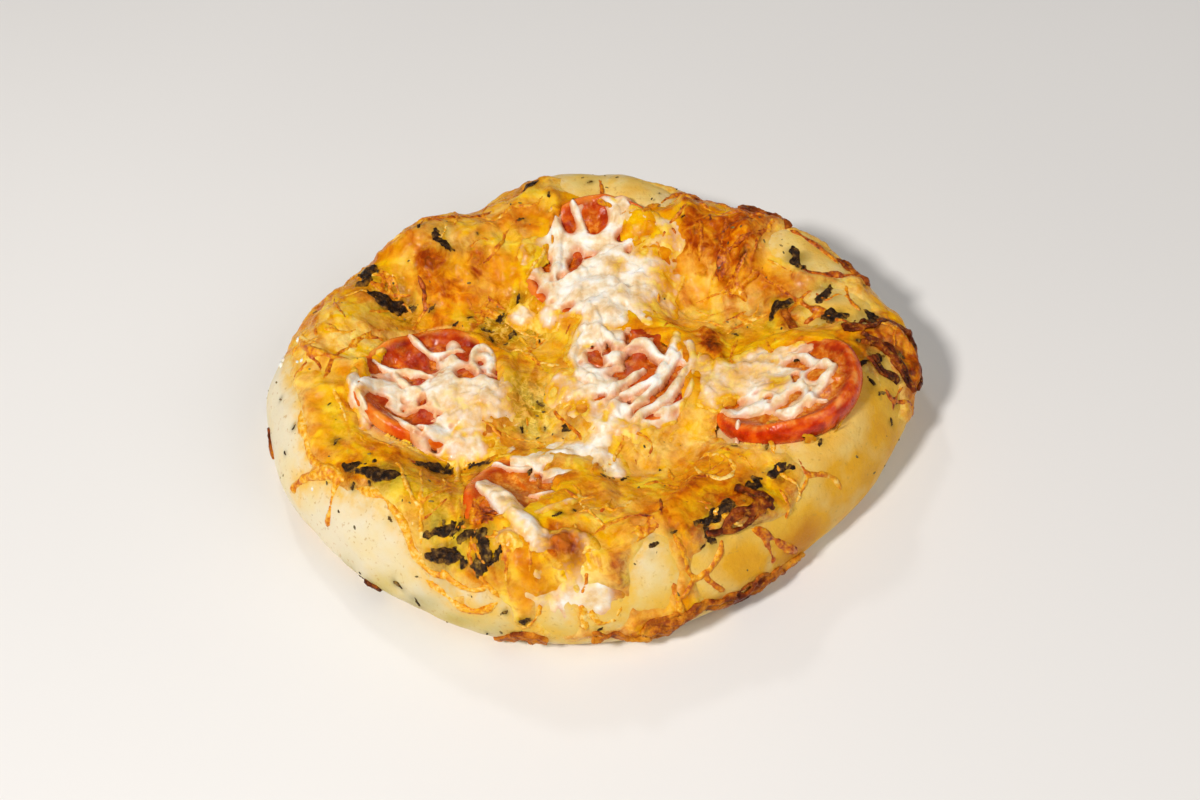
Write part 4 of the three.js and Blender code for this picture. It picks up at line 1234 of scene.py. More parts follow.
# White melted cheese on each slice. Pools: picture point, half-length, half-width, turn and thickness.
# Holes: picture point, half-length, half-width and turn. Strands: radius and a path of picture points.
WEBS = {
    "back": {
        "pools": (
            (597, 266, 23, 22, 0, 1.2), (598, 300, 12, 12, 0, 2.2), (620, 262, 11, 8, 0, 2.0),
            (600, 238, 13, 5, 5, 1.6), (548, 286, 6.5, 4, 0, 1.6), (552, 314, 7, 4.5, -20, 1.6),
            (618, 212, 5, 6.5, 0, 1.8), (642, 224, 8, 5, -15, 1.6), (662, 245, 9, 10, 0, 1.3),
            (654, 276, 9, 10, 0, 1.4), (645, 302, 10, 10, 0, 1.3), (531, 257, 4.5, 6, 0, 1.4),
            (588, 334, 7, 7, 0, 1.6), (610, 318, 8, 6, 0, 1.6), (520, 310, 5, 4, 0, 1.2),
        ),
        "holes": (
            (568, 220, 2.3, 3.7, 10), (594, 217, 4.6, 4.6, 0), (621, 236, 1.6, 1.6, 0), (639, 238, 0.8, 1.5, 0),
            (654, 233, 1.2, 0.8, 0), (664, 252, 2.5, 1.5, -10), (629, 251, 0.7, 0.8, 0), (575, 260, 2.1, 5, -15),
            (589, 256, 2.1, 1.3, 20), (549, 264, 2.4, 3.3, 0), (560, 277, 1.8, 0.9, 30), (531, 286, 2.1, 3.3, -15),
            (539, 298, 2.4, 1.6, 30), (566, 309, 1.5, 0.9, 0), (566, 323, 3.4, 1.9, -10),
        ),
        "strands": (
            (1.3, ((573, 205), (579, 218), (585, 230))),
            (1.8, ((553, 212), (556, 226), (558, 240), (557, 262), (555, 280))),
            (1.5, ((589, 308), (584, 324), (580, 340))), (1.4, ((595, 314), (599, 330), (602, 344))),
            (1.2, ((562, 282), (575, 275), (590, 270))), (1.2, ((519, 300), (528, 312), (535, 322))),
        ),
    },
    "left": {
        "pools": (
            (462, 397, 15, 13, 0, 2.4), (452, 356, 5, 8, 0, 2.0), (484, 358, 4.5, 5, 0, 1.6),
            (420, 395, 12, 5, -10, 1.8), (385, 385, 8, 4, -10, 1.4), (359, 385, 3.5, 7, 0, 1.8),
            (470, 440, 11, 6, 0, 1.6), (500, 400, 7, 12, 0, 1.6), (392, 370, 5, 3, 0, 1.2),
            (430, 432, 9, 5, -20, 1.6), (398, 400, 7, 4, -20, 1.4), (518, 446, 5, 5, 0, 1.4),
            (550, 444, 6, 4, 0, 1.2),
        ),
        "holes": (
            (408, 357, 7.5, 5, 5), (435, 344, 3, 1.7, 0), (472, 347, 3.6, 1.9, -10), (468, 356, 1.5, 2.6, 0),
            (468, 373, 3.8, 2.8, -20), (480, 362, 1, 1, 0), (499, 367, 1.4, 3.8, 0), (376, 359, 2.2, 2.2, 0),
            (402, 375, 2.8, 1.8, -30), (374, 375, 1.6, 1, 0), (375, 396, 2.3, 1, -10), (385, 407, 2.6, 0.9, -35),
            (418, 417, 4, 4.2, 0), (407, 427, 0.8, 1.9, 20), (491, 440, 0.9, 1.8, 0), (523, 447, 0.8, 1.2, 0),
        ),
        "strands": (
            (1.3, ((410, 337), (421, 346), (434, 353), (450, 350))),
            (1.2, ((374, 360), (390, 368), (404, 368), (418, 372), (432, 377))),
            (1.4, ((392, 366), (398, 378), (412, 388))), (1.7, ((357, 372), (352, 386), (360, 402), (362, 417))),
            (1.2, ((478, 372), (472, 362), (476, 350), (488, 348), (494, 358), (490, 372))),
            (1.3, ((388, 410), (400, 420), (412, 430), (424, 437))), (1.1, ((457, 453), (456, 465), (455, 478))),
            (0.6, ((505, 345), (516, 352), (524, 344))), (0.6, ((520, 330), (526, 340), (522, 352))),
            (0.7, ((515, 420), (528, 412), (540, 418))), (0.6, ((525, 396), (534, 404), (530, 414))),
            (0.7, ((500, 452), (516, 458), (530, 452))),
        ),
    },
    "middle": {
        "pools": (
            (613, 354, 5, 6.5, 0, 2.0), (591, 376, 6, 6, -20, 1.8), (611, 405, 7, 6.5, 0, 2.2),
            (682, 351, 4.5, 6.5, -20, 1.8), (577, 350, 4, 8, 10, 1.6), (578, 403, 7, 6, 0, 1.6),
            (560, 390, 5, 7, 0, 1.4), (605, 425, 8, 5, 0, 1.4), (648, 428, 7, 5, 0, 1.2), (600, 338, 8, 5, 0, 1.6),
            (648, 346, 6, 3, 10, 1.6), (700, 372, 5, 7, 0, 1.4), (630, 428, 5, 3, 0, 1.4),
            (588, 446, 7, 4, 10, 1.2), (540, 458, 11, 6, 0, 1.5), (568, 450, 11, 6, 0, 1.6),
            (598, 446, 6, 11, 0, 1.7), (612, 464, 5, 8, 10, 1.4), (560, 474, 9, 4, 0, 1.3),
            (630, 351, 6, 3.5, 0, 1.8), (624, 407, 9, 5, 5, 1.8), (598, 390, 8, 5, -20, 1.8),
            (686, 372, 3, 8, -20, 1.4), (655, 416, 8, 3, 25, 1.5),
        ),
        "holes": (
            (596, 357, 2.1, 4.3, 15), (637, 361, 4.4, 4.0, -20), (617, 373, 2.8, 1.4, 10),
            (663, 345, 3.3, 3.8, 30), (680, 349, 0.8, 1.4, 0), (666, 381, 7.6, 1.8, 58), (636, 386, 5.5, 0.8, 30),
            (683, 394, 6, 2.6, 60), (645, 409, 4, 1.5, 30), (629, 401, 0.8, 1.3, 0), (582, 408, 1.6, 1.6, 0),
            (554, 388, 1, 1.2, 0), (568, 406, 1.4, 1, 0), (660, 430, 4.2, 1.2, 15),
        ),
        "strands": (
            (1.6, ((626, 349), (643, 343), (656, 355), (667, 360))), (1.7, ((677, 336), (673, 350), (667, 362))),
            (1.3, ((643, 371), (627, 381), (610, 392))), (1.5, ((668, 360), (653, 380), (622, 396))),
            (1.6, ((688, 365), (676, 386), (659, 403), (637, 420), (636, 438))),
            (1.4, ((578, 340), (572, 356), (580, 372), (596, 384))), (1.5, ((582, 324), (575, 336), (573, 350))),
            (1.4, ((596, 326), (606, 336), (616, 344))), (1.3, ((690, 344), (693, 360), (688, 372))),
            (1.2, ((681, 352), (664, 376), (644, 397), (628, 410))),
            (1.3, ((693, 372), (690, 392), (676, 408), (656, 416))),
        ),
    },
    "right": {
        "pools": (
            (797, 377, 3.6, 4, 0, 2.0), (757, 406, 9, 4, -8, 2.0), (790, 407, 5, 3, 0, 1.6),
            (745, 378, 12, 10, 0, 1.4), (768, 358, 12, 4.5, -5, 1.4), (775, 385, 9, 8, 0, 1.4),
            (812, 396, 3, 3, 0, 1.4), (725, 392, 9, 7, 0, 1.2), (806, 378, 8, 7, 0, 1.0),
        ),
        "holes": (
            (816, 372, 2.6, 2.4, 0), (797, 392, 1.8, 1.2, 0), (804, 366, 1.2, 1.0, 0), (733, 402, 3, 2, 0),
            (815, 387, 1.4, 0.9, 0),
        ),
        "strands": (
            (1.5, ((790, 355), (804, 356), (817, 360), (833, 367))),
            (1.5, ((835, 365), (823, 380), (810, 395), (793, 407), (778, 408))), (1.0, ((812, 384), (822, 388))),
            (0.9, ((815, 398), (826, 400))), (1.0, ((798, 380), (806, 388), (804, 400))),
            (1.1, ((738, 424), (736, 432))),
        ),
    },
    "front": {
        "pools": (
            (510, 548, 7, 6, -30, 1.6), (538, 566, 7, 9, 0, 1.6), (566, 553, 9, 7, -10, 3.0),
            (600, 592, 7, 3, 0, 1.5), (580, 584, 10, 7, -10, 1.8), (512, 510, 4, 4, 0, 1.4),
        ),
        "holes": ((485, 522, 3, 2, 0),),
        "strands": (
            (3.6, ((489, 485), (503, 500), (520, 521), (540, 543))),
            (1.0, ((487, 464), (505, 467), (520, 468), (536, 466))), (0.9, ((529, 493), (541, 494), (553, 491))),
            (1.3, ((536, 513), (550, 508), (562, 504), (580, 498))), (1.2, ((571, 594), (590, 595), (615, 592))),
            (1.2, ((500, 552), (512, 556), (522, 566))), (1.2, ((496, 548), (506, 538), (518, 542), (526, 556))),
            (1.4, ((582, 598), (584, 615), (586, 630))),
        ),
    },
}
# Golden and browned tints on the white cheese: picture point, width, depth and strength.
WEB_GOLD = (
    (618, 269, 4, 4, 0.7), (626, 299, 4, 4, 0.4), (643, 253, 5, 4, 0.9), (672, 235, 6, 8, 0.8),
    (668, 280, 7, 10, 0.9), (656, 308, 8, 7, 0.8), (466, 410, 13, 11, 0.5), (531, 257, 6, 7, 1.0),
    (552, 314, 5, 4, 0.3), (636, 225, 6, 4, 0.45), (515, 400, 7, 10, 0.8), (482, 408, 3, 3, 0.7),
    (365, 393, 3, 3, 0.8), (352, 372, 3, 4, 0.5), (455, 445, 8, 5, 0.35), (421, 396, 2, 2, 0.5),
    (613, 410, 3, 3, 0.6), (560, 390, 6, 8, 0.75), (577, 350, 3, 5, 0.35), (700, 372, 6, 8, 0.65),
    (630, 430, 6, 4, 0.7), (742, 374, 10, 8, 0.6), (768, 358, 12, 5, 0.5), (775, 385, 5, 5, 0.9),
    (722, 392, 8, 7, 0.6), (500, 490, 5, 5, 0.5), (514, 510, 7, 9, 0.45), (538, 566, 7, 8, 0.75),
    (567, 552, 9, 8, 1.0), (515, 512, 2, 3, 0.5), (525, 530, 2, 3, 0.5), (560, 500, 7, 4, 0.4),
    (510, 548, 7, 6, 0.9), (600, 592, 9, 4, 0.3), (584, 615, 4, 8, 0.6),
)
WEB_BROWN = (
    (565, 546, 5, 4, 1.3), (582, 552, 4, 3, 0.6), (711, 350, 3.5, 5, 0.8), (498, 535, 4, 3, 0.5),
    (767, 382, 4, 3, 0.25), (617, 572, 3, 4, 0.7),
)
# White cheese: the run of its rounded edge, the step and half-width of its grid, its least distance from the
# loaf's outline, how far outside its edge it is built and how deep it reaches down.
WEB_EDGE = 2.2
WEB_STEP = 0.4
WEB_REACH = 38
WEB_INSET = 0.8
WEB_ROOM = 0.55
WEB_DEPTH = 1.6
# Waves in its edge and in its upper face: depth, size and seed.
WEB_EDGE_WAVES = ((0.9, 5, 61), (0.5, 2.2, 62))
WEB_TOP_WAVES = ((0.35, 5, 67), (0.12, 2.4, 68))
# Shreds in it: how many, and the ranges of their lengths, widths and rises. They lie round one direction.
WEB_SHREDS = 130
WEB_SHRED_SIZES = ((4, 10), (0.8, 1.5), (0.4, 1.1))
WEB_SHRED_HEADING = (60, 75)
# Height over the dough at which picture points on a slice are looked for.
ON_SLICE = 5.0


def web_piece(name, ground, cover):
    cx, cy, _, _, _ = SLICES[name]
    line = np.arange(-WEB_REACH, WEB_REACH + 0.01, WEB_STEP)
    x, y = np.meshgrid(cx + line, cy + line, indexing="ij")
    web = WEBS[name]
    inside, bulk, ridge = np.full_like(x, -9.0), np.zeros_like(x), np.zeros_like(x)
    for *oval, thick in placed(web["pools"], ON_SLICE, on_plan):
        within = oval_distance(x, y, *oval)
        inside = soft_max(inside, within, 2.0)
        bulk = np.maximum(bulk, (thick - 1.0) * smooth(within / 5))
    inside += flat_waves(x, y, WEB_EDGE_WAVES)
    on_sheet = smooth((cover.read(x, y) + 1) / 2)
    froth = 0.5 - flat_noise(x, y, 3.0, 69) - 0.25 * flat_noise(x, y, 1.4, 70)
    pores = 3.2 * froth + np.maximum(0.6 * (inside - 2.5), 0) + 2 * on_sheet
    inside = -soft_max(-inside, -pores, 0.8)
    torn = 0.5 * flat_noise(x, y, 3, 63)
    for oval in placed(web["holes"], ON_SLICE, on_plan):
        inside = -soft_max(-inside, oval_distance(x, y, *oval) + torn, 0.9)
    for thick, path in web["strands"]:
        way = run_through(on_plan(path, ON_SLICE), 1.0)
        cut, away = near_path(x, y, way, 5)
        ends = np.minimum(*(np.hypot(x[cut] - way[i, 0], y[cut] - way[i, 1]) for i in (0, -1)))
        thick = thick * (0.5 + 0.45 * smooth(ends / 4)) + 0.55 * flat_noise(x[cut], y[cut], 3.5, 64)
        inside[cut] = soft_max(inside[cut], thick - away, 0.9)
        ridge[cut] = np.maximum(ridge[cut], 0.7 * np.sqrt(np.maximum(thick**2 - away**2, 0)))
    inside = np.minimum(inside, outline(np.arctan2(y, x)) - WEB_INSET - np.hypot(x, y))
    share = np.clip(inside / (WEB_EDGE + 3.0 * on_sheet), 0, 1)
    bead = np.sqrt(1 - (1 - share) ** 2) * (1 - on_sheet) + share * on_sheet
    shreds, _ = shred_relief(x, y, WEB_SHREDS, 65, (cx, cy), WEB_REACH, WEB_SHRED_HEADING, WEB_SHRED_SIZES)
    height = bead * (0.6 + bulk + shreds + flat_waves(x, y, WEB_TOP_WAVES)) + ridge
    height = np.where(inside > 0, height, inside)
    base = dough_height(x, y) + ground.read(x, y)
    top = np.stack((x, y, base + np.maximum(height, -0.8)), -1)
    under = np.stack((x, y, base - WEB_DEPTH), -1)
    thin = 1 - smooth((inside + ridge) / (1.8 + 2.4 * on_sheet))
    masks = {
        "thin": thin * (1 - on_sheet),
        "gold": np.maximum(patch(x, y, WEB_GOLD, ON_SLICE), 0.9 * thin * on_sheet),
        "brown": patch(x, y, WEB_BROWN, ON_SLICE),
    }
    points, faces, masks = slab(whole_cells(inside > -WEB_ROOM), top, under, masks)
    return make_piece("web_" + name, points, faces, WHITE, masks, flat_last=True)


# Fine strands sown over the sheet: how many, the step along them, how far out they start, and the ranges of
# their lengths and radii.
FINE_STRANDS = 140
FINE_STEP = 0.8
FINE_REACH = 100
FINE_LENGTHS = (10, 30)
FINE_RADII = (0.55, 1.0)


def tapered(count, end, run):
    """Shares of a strand's full thickness along it, down to a share at both ends."""
    share = np.linspace(0, 1, count)
    return end + (1 - end) * smooth(np.minimum(share, 1 - share) * run)


def fine_paths(ground, cover):
    """Short bent strands that have sunk into the sheet."""
    draw = np.random.default_rng(77)
    paths = []
    while len(paths) < FINE_STRANDS:
        turn, out = draw.uniform(0, 2 * math.pi), FINE_REACH * math.sqrt(draw.random())
        way, bend = draw.uniform(0, 2 * math.pi), draw.uniform(-0.09, 0.09)
        length, thick, shade = draw.uniform(*FINE_LENGTHS), draw.uniform(*FINE_RADII), draw.uniform(0.25, 0.65)
        run = np.arange(0, length, FINE_STEP)
        heading = way + bend * run + 0.9 * flat_noise(run, np.full_like(run, 30.0 * len(paths)), 6, 78)
        u = out * math.cos(turn) + np.cumsum(FINE_STEP * np.cos(heading))
        v = out * math.sin(turn) + np.cumsum(FINE_STEP * np.sin(heading))
        if cover.read(u, v).min() < 0.5:
            continue
        points = raised(u, v, ground.read(u, v) - 0.4 * thick)
        size = thick * tapered(len(run), 0.3, 3) * (1 + 0.3 * noise(points, 4, 71))
        shade = shade + 0.35 * patch(u, v, ORANGE_PATCHES) + 0.15 * noise(points, 7, 72)
        paths.append((points, size, shade))
    return paths


# Crisped strands of cheese: radius, shade from pale to dark, and a path of picture points.
STRANDS = (
    (1.2, 0.50, ((299, 341), (314, 354), (335, 362), (352, 371))),
    (0.9, 0.55, ((350, 342), (368, 339), (386, 343))), (0.8, 0.62, ((387, 300), (398, 314), (410, 331))),
    (1.9, 0.38, ((303, 404), (301, 420), (306, 438), (311, 456), (323, 468), (338, 476), (351, 486))),
    (1.8, 0.42, ((292, 493), (300, 482), (313, 476), (333, 477))),
    (1.6, 0.34, ((341, 466), (337, 482), (332, 500), (329, 515), (326, 530))),
    (1.6, 0.36, (
        (345, 490), (362, 490), (382, 497), (395, 510), (405, 527), (410, 545), (420, 562), (435, 575), (451, 578),
    )),
    (1.5, 0.34, ((421, 579), (440, 590), (455, 602), (475, 611), (490, 607), (501, 599))),
    (0.9, 0.3, ((327, 382), (342, 412), (351, 430), (371, 447))),
    (0.8, 0.45, ((375, 442), (392, 450), (411, 456))),
    (1.0, 0.4, ((531, 587), (540, 605), (537, 617), (520, 630))),
    (1.3, 0.45, ((500, 597), (488, 582), (475, 565))), (0.9, 0.5, ((487, 535), (473, 553), (477, 571))),
    (0.8, 0.5, ((445, 532), (460, 531), (475, 536))),
    (1.6, 0.62, ((745, 527), (767, 535), (790, 550), (805, 558))),
    (1.2, 0.58, ((757, 527), (770, 550), (774, 566))),
    (1.2, 0.55, ((720, 535), (721, 549), (712, 566), (701, 576), (688, 586), (676, 602))),
    (1.1, 0.5, ((668, 528), (681, 549), (689, 573), (701, 576))), (1.1, 0.6, ((703, 576), (714, 584), (725, 592))),
    (1.3, 0.5, ((672, 580), (676, 596), (680, 612))), (1.1, 0.35, ((777, 425), (772, 445), (777, 460))),
    (1.1, 0.5, ((792, 445), (802, 465), (810, 475), (825, 475), (837, 480), (845, 496))),
    (0.9, 0.5, ((810, 478), (803, 490), (795, 503))), (1.1, 0.62, ((777, 487), (787, 505), (787, 523))),
    (1.0, 0.18, ((694, 467), (708, 457), (728, 461), (735, 472), (722, 482), (703, 477), (694, 467))),
    (1.0, 0.5, ((717, 452), (735, 455), (749, 464), (753, 474))), (0.8, 0.4, ((622, 608), (617, 618), (611, 626))),
    (1.5, 0.3, ((582, 600), (583, 615), (586, 631))), (1.3, 0.7, ((786, 230), (808, 241), (832, 256), (843, 268))),
    (1.4, 0.7, ((800, 272), (820, 275), (842, 275), (864, 283))),
    (1.2, 0.62, ((375, 256), (397, 241), (430, 223), (452, 220), (480, 218), (500, 208))),
    (1.1, 0.55, ((503, 206), (525, 193), (545, 182))), (1.0, 0.6, ((467, 252), (480, 243), (490, 246))),
    (1.1, 0.55, ((598, 178), (602, 190), (600, 204), (612, 212))),
    (1.2, 0.6, ((660, 206), (650, 212), (644, 222))),
    (1.3, 0.75, ((882, 387), (893, 400), (907, 406), (910, 424))),
    (1.0, 0.7, ((900, 386), (894, 402), (891, 418))), (1.0, 0.5, ((640, 492), (662, 486), (684, 494))),
    (1.0, 0.45, ((615, 540), (632, 530), (655, 532))), (0.9, 0.4, ((560, 505), (580, 512), (602, 508))),
    (1.2, 0.68, ((775, 285), (795, 300), (812, 310), (832, 312))),
    (1.1, 0.62, ((800, 330), (818, 316), (840, 322), (858, 330))),
    (1.1, 0.66, ((845, 284), (850, 300), (862, 312))),
    (1.0, 0.58, ((812, 290), (826, 300), (838, 294), (852, 300))),
    (1.3, 0.66, ((700, 222), (706, 245), (702, 268))), (1.2, 0.68, ((722, 240), (729, 262), (724, 285))),
    (1.2, 0.62, ((746, 258), (740, 282), (748, 305))),
    (1.1, 0.4, ((596, 600), (592, 612), (600, 622), (614, 618), (624, 602))),
    (1.3, 0.32, ((440, 566), (455, 582), (476, 590), (492, 584))),
    (1.7, 0.64, ((660, 205), (670, 197), (692, 197), (720, 207), (750, 215), (776, 221))),
    (1.3, 0.58, ((666, 203), (690, 205), (716, 214), (748, 222), (772, 227))),
    (1.2, 0.7, ((676, 196), (700, 200), (728, 209), (742, 214))),
    (1.1, 0.74, ((473, 505), (480, 518), (488, 528), (497, 538))),
    (1.0, 0.8, ((482, 516), (493, 519), (504, 524))), (1.0, 0.72, ((476, 529), (488, 526), (500, 533))),
    (1.0, 0.6, ((489, 505), (480, 511), (475, 522), (482, 534))),
    (1.0, 0.5, ((496, 538), (505, 546), (508, 558), (502, 567))),
    (1.0, 0.45, ((507, 536), (515, 548), (513, 563))),
)
# Crisp lace: spread of the bundle, shade and a path of picture points.
LACE_STRANDS = 5
LACE = (
    (2.2, 0.32, ((592, 636), (635, 634), (660, 626), (685, 613), (736, 597), (772, 576), (804, 558))),
    (2.2, 0.85, ((735, 600), (755, 597), (765, 585))),
    (1.2, 0.6, ((738, 214), (750, 216), (776, 222), (787, 231))),
    (2.2, 0.7, ((842, 330), (865, 327), (887, 326), (905, 343), (911, 365), (909, 386))),
    (2.0, 0.65, ((860, 341), (885, 350), (897, 370), (907, 392))),
    (1.6, 0.7, ((870, 358), (882, 372), (896, 384))), (1.5, 0.65, ((836, 258), (848, 268), (866, 288))),
    (1.8, 0.6, ((705, 535), (722, 528), (740, 520), (762, 512))),
    (1.4, 0.45, ((495, 638), (520, 634), (548, 640))), (1.6, 0.4, ((512, 638), (528, 638), (545, 639))),
    (2.6, 0.36, ((640, 630), (672, 620), (700, 608), (735, 594), (768, 574))),
    (1.3, 0.55, ((268, 428), (263, 437), (266, 447), (270, 455))),
    (1.3, 0.8, ((362, 583), (372, 588), (380, 590))), (1.2, 0.6, ((790, 316), (794, 326), (798, 336))),
    (1.4, 0.65, ((735, 490), (750, 500), (770, 506))),
)


# Least heights over the table of the middle of a strand and of the lace.
STRAND_FLOOR, LACE_FLOOR = 0.8, 0.9


def strand_piece(ground, cover):
    paths = fine_paths(ground, cover)
    for thick, shade, path in STRANDS:
        u, v = run_through(on_skin(path), 0.9).T
        points = raised(u, v, ground.read(u, v) - 0.45 * thick)
        points[:, 2] = np.maximum(points[:, 2], STRAND_FLOOR)
        size = 0.95 * thick * tapered(len(points), 0.35, 6) * (1 + 0.45 * noise(points, 4, 71))
        paths.append((points, size, shade + 0.2 * noise(points, 7, 72)))
    return grown("crisped_strands", path_mesh("strand_paths", paths), strand_tree(), STRAND)


def lace_piece(ground):
    """Bundles of thin strands that have frizzled into one crust."""
    paths = []
    for i, (spread, shade, path) in enumerate(LACE):
        way = run_through(on_skin(path), 0.8)
        along = np.gradient(way, axis=0)
        across = np.stack((-along[:, 1], along[:, 0]), 1) / np.linalg.norm(along, axis=1)[:, None]
        for k in range(LACE_STRANDS):
            sway = np.stack((way[:, 0], way[:, 1], np.full(len(way), 40.0 * k + 9 * i)), 1)
            u, v = (way + across * (spread * 1.5 * noise(sway, 6, 73))[:, None]).T
            points = raised(u, v, ground.read(u, v) + 0.25 + 0.5 * spread * noise(sway, 5, 74))
            points[:, 2] = np.maximum(points[:, 2], LACE_FLOOR)
            paths.append((points, 0.75 + 0.35 * noise(sway, 4, 75), shade + 0.25 * noise(points, 7, 76)))
    return grown("crisp_lace", path_mesh("lace_paths", paths), lace_tree(), CRISP)


# Leaves and smaller scraps of herb.
LEAF_STEP = 0.42
# How deep a leaf's edge and its underside are sunk in.
LEAF_SUNK, LEAF_DEPTH = 0.3, 0.8
# Height over the dough at which the scraps are looked for, and their picture points and lengths.
SCRAP_LIFT = 1.0
SCRAPS = (
    (412, 305, 5), (432, 307, 4), (520, 220, 4), (550, 198, 3.5), (476, 235, 1.6), (422, 230, 4), (410, 230, 3),
    (519, 300, 5), (519, 322, 5), (484, 331, 5), (455, 325, 4), (686, 221, 2), (662, 306, 3.5), (619, 311, 1.6),
    (621, 315, 1.4), (735, 334, 4), (860, 342, 5), (897, 356, 5), (279, 397, 2.4), (294, 425, 2.6), (267, 428, 2),
    (285, 451, 2.2), (336, 440, 4), (329, 405, 2), (354, 485, 3.4), (370, 485, 4.5), (390, 517, 3), (339, 509, 2),
    (442, 525, 3.5), (397, 584, 5), (361, 577, 6), (372, 586, 6), (417, 601, 5), (525, 617, 5), (515, 632, 4),
    (505, 610, 3.5), (570, 432, 5.5), (531, 480, 5), (559, 524, 4.5), (575, 521, 2.5), (487, 630, 2),
    (605, 486, 4), (625, 482, 4), (654, 542, 5), (672, 531, 3), (705, 531, 6), (711, 538, 5), (767, 446, 2.4),
    (735, 445, 2.4), (820, 440, 4), (882, 391, 4), (895, 402, 4), (891, 419, 3), (872, 379, 5), (702, 545, 3),
    (600, 626, 3), (660, 470, 2), (540, 405, 4), (520, 432, 4), (545, 430, 3), (505, 345, 3), (470, 318, 3.5),
    (590, 180, 2.4), (802, 368, 2), (444, 468, 6), (471, 461, 6), (500, 318, 6), (512, 335, 6), (528, 322, 5),
    (490, 341, 5), (540, 342, 4), (570, 432, 7), (472, 540, 14), (486, 552, 15), (498, 558, 8), (460, 532, 10),
)


def leaf_mesh(x, y, long, wide, turn, seed, ground):
    """A wilted, folded leaf with a torn outline, sunk a little into what it lies on."""
    step = min(LEAF_STEP, wide / 9)
    lines = (np.arange(-half, half, step) for half in (0.65 * long, 0.85 * wide))
    p, q = np.meshgrid(*lines, indexing="ij")
    bent = q - 0.18 * wide * np.sin(4.4 * p / long + seed)
    inside = oval_distance(p, bent, 0, 0, 0.54 * long, 0.44 * wide)
    inside += wide * flat_waves(p, q, ((0.22, 0.4 * wide, seed), (0.12, 0.18 * wide, seed + 1)))
    a = math.radians(turn)
    u, v = x + p * math.cos(a) - q * math.sin(a), y + p * math.sin(a) + q * math.cos(a)
    skin, out = dough_skin(u, v)
    folds = 0.18 * np.abs(flat_noise(p, q, 0.4 * wide, seed + 2)) + 0.06 * flat_noise(p, q, 0.2 * wide, seed + 3)
    floor = ground.read(u, v)
    height = floor - LEAF_SUNK + (0.5 + wide * folds) * smooth(inside / (0.16 * wide))
    top, under = (skin + out * h[..., None] for h in (height, floor - LEAF_DEPTH))
    edge = 1 - smooth(inside / (0.28 * wide))
    points, faces, masks = slab(whole_cells(inside > 0), top, under, {"edge": edge})
    return points, np.vstack(faces), masks


def leaf_pieces(ground):
    for i, (x, y, long, wide, turn) in enumerate(LEAVES):
        (u, v), = to_skin(*np.array(((x,), (y,), (CREST,)), float))
        points, faces, masks = leaf_mesh(u, v, long, wide, turn, 100 + 7 * i, ground)
        place(make_piece(f"leaf_{i + 1}", points, (faces,), HERB, masks), "herb", f"herb_leaf_{i + 1}")


def scrap_piece(ground):
    draw = np.random.default_rng(83)
    points, faces, count = [], [], 0
    for i, (u, v, long) in enumerate(placed(SCRAPS, SCRAP_LIFT)):
        wide, turn = long * draw.uniform(0.25, 0.45), draw.uniform(0, 180)
        p, f, _ = leaf_mesh(u, v, 0.75 * long, wide, turn, 300 + 5 * i, ground)
        points.append(p)
        faces.append(f + count)
        count += len(p)
    return make_piece("herb_scraps", np.vstack(points), (np.vstack(faces),), SCRAP)


# The mesh that is sown: its step, its half-width, and how far it ends before the foot and inside the slices.
SOW_STEP = 1.6
SOW_REACH = 112
SOW_ROOM = 9
SOW_LAP = 2


def sowing_mesh(ground, density):
    """The upper skin as a plain mesh, with how thickly each place is sown."""
    line = np.arange(-SOW_REACH, SOW_REACH + 0.1, SOW_STEP)
    u, v = np.meshgrid(line, line, indexing="ij")
    points = raised(u, v, ground.read(u, v))
    good = np.hypot(u, v) < skin_end(np.arctan2(v, u)) - SOW_ROOM
    for x, y, radius, _, _ in SLICES.values():
        good &= np.hypot(u - x, v - y) > radius - SOW_LAP
    keep = whole_cells(good)
    quads = np.stack([k[keep] for k in corners(numbered(u))], 1)
    mesh = bpy.data.meshes.new("sowing")
    mesh.from_pydata((points.reshape(-1, 3) * MM).tolist(), [], quads.tolist())
    store(mesh, "sow", density(u, v))
    return mesh


# Flakes to a square metre on the whole and more on green patches, and crumbs to a square metre.
FLAKES, GREEN_FLAKES = 9000, 26000
CRUMBS_SOWN = 160000


def flake_density(u, v):
    clumps = smooth((flat_noise(u, v, 14, 91) + 0.2) / 0.9)
    return FLAKES * (0.25 + clumps) + GREEN_FLAKES * patch(u, v, GREEN_PATCHES)


# Where crumbs lie: picture point, width, depth and strength.
CRUMBS = (
    (301, 337, 3, 3, 1.0), (279, 363, 2.5, 2.5, 1.0), (296, 368, 4, 2, 0.8), (288, 374, 3, 2, 0.6),
    (310, 492, 2, 2, 0.7),
)


def crumb_density(u, v):
    return CRUMBS_SOWN * np.maximum(patch(u, v, CRUMBS) - 0.15, 0)


DOUGH, GOLDEN, STRAND, CRISP = dough_finish(), golden_finish(), strand_finish(), crisp_finish()
WHITE, TOMATO, HERB, SCRAP = white_finish(), tomato_finish(), herb_finish(), scrap_finish()
FLAKE, CRUMB = flake_finish(), crumb_finish()

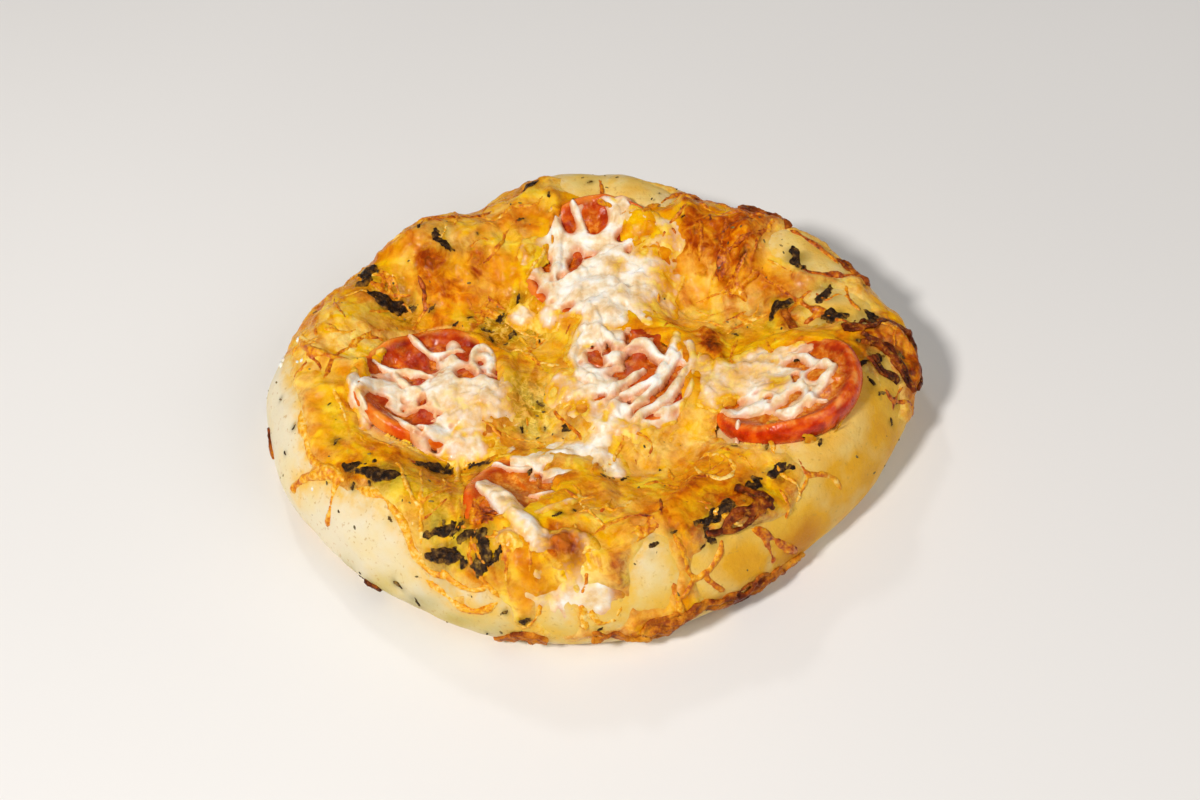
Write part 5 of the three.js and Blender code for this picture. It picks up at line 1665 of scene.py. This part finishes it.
cover, lift, looks = sheet_layers()
rise = slice_rise()
ground = ground_layer(cover, lift, rise)
place(dough_piece(cover), "crust", "bread")
sheet_pieces(cover, lift, rise, looks)
for name in SLICES:
    place(slice_piece(name), "tomato", "tomato_" + name)
    place(web_piece(name, ground, cover), "white_cheese", "white_cheese_" + name)
place(strand_piece(ground, cover), "golden_cheese", "melted_cheese")
place(lace_piece(ground), "golden_cheese", "melted_cheese")
leaf_pieces(ground)
place(scrap_piece(ground), "herb")
sown = sown_tree()
flakes, crumbs = sowing_mesh(ground, flake_density), sowing_mesh(ground, crumb_density)
place(grown("herb_flakes", flakes, sown, FLAKE, Length=0.0009, Breadth=0.0004), "herb")
crumb_sizes = {"Length": 0.0013, "Breadth": 0.0009, "Thickness": 0.0007}
place(grown("white_crumbs", crumbs, sown, CRUMB, **crumb_sizes, Seed=9), "white_cheese")

# Floor, light and camera.
FLOOR_HALF = 3.0


def floor_piece():
    mesh = bpy.data.meshes.new("floor")
    h = FLOOR_HALF
    mesh.from_pydata([(-h, -h, 0), (h, -h, 0), (h, h, 0), (-h, h, 0)], [], [(0, 1, 2, 3)])
    f = Finish("pale_floor", roughness=0.55)
    mesh.materials.append(f.done(f.ramp(f.noise(400, 2), (0.3, "e9e7e6"), (0.7, "eeeceb"))))
    return add_object("floor", mesh)


floor_piece()


# The point that the lights are turned to.
AIM = np.array((0, 0, 0.02))


def soft_light(name, at, size, watts, colour):
    data = bpy.data.lights.new(name, "AREA")
    data.shape = "DISK"
    data.size = size
    data.energy = watts
    data.color = colour
    light = add_object(name, data)
    light.location = at
    light.rotation_mode = "QUATERNION"
    light.rotation_quaternion = Vector(AIM - np.array(at)).to_track_quat("-Z", "Y")


soft_light("key", (-0.6, -0.55, 0.95), 0.2, 12.4, (1.0, 0.97, 0.92))
soft_light("fill", (0.8, -0.4, 0.8), 0.9, 4.3, (1.0, 0.98, 0.96))
soft_light("back", (-0.25, 0.85, 0.95), 0.12, 1.6, (1.0, 0.99, 0.97))

world = bpy.data.worlds.new("studio")
world.use_nodes = True
sky = world.node_tree.nodes["Background"].inputs
sky["Color"].default_value = (1.0, 0.99, 0.97, 1)
sky["Strength"].default_value = 0.14
bpy.context.scene.world = world
bpy.context.scene.view_settings.view_transform = "Standard"

lens = bpy.data.cameras.new("camera")
lens.lens = LENS
lens.sensor_width = SENSOR
lens.clip_start = 0.01
camera = add_object("camera", lens)
matrix = np.eye(4)
matrix[:3] = np.stack((RIGHT, UP, -FORWARD, EYE * MM), 1)
camera.matrix_world = matrix.T.tolist()
bpy.context.scene.camera = camera

bpy.context.view_layer.update()
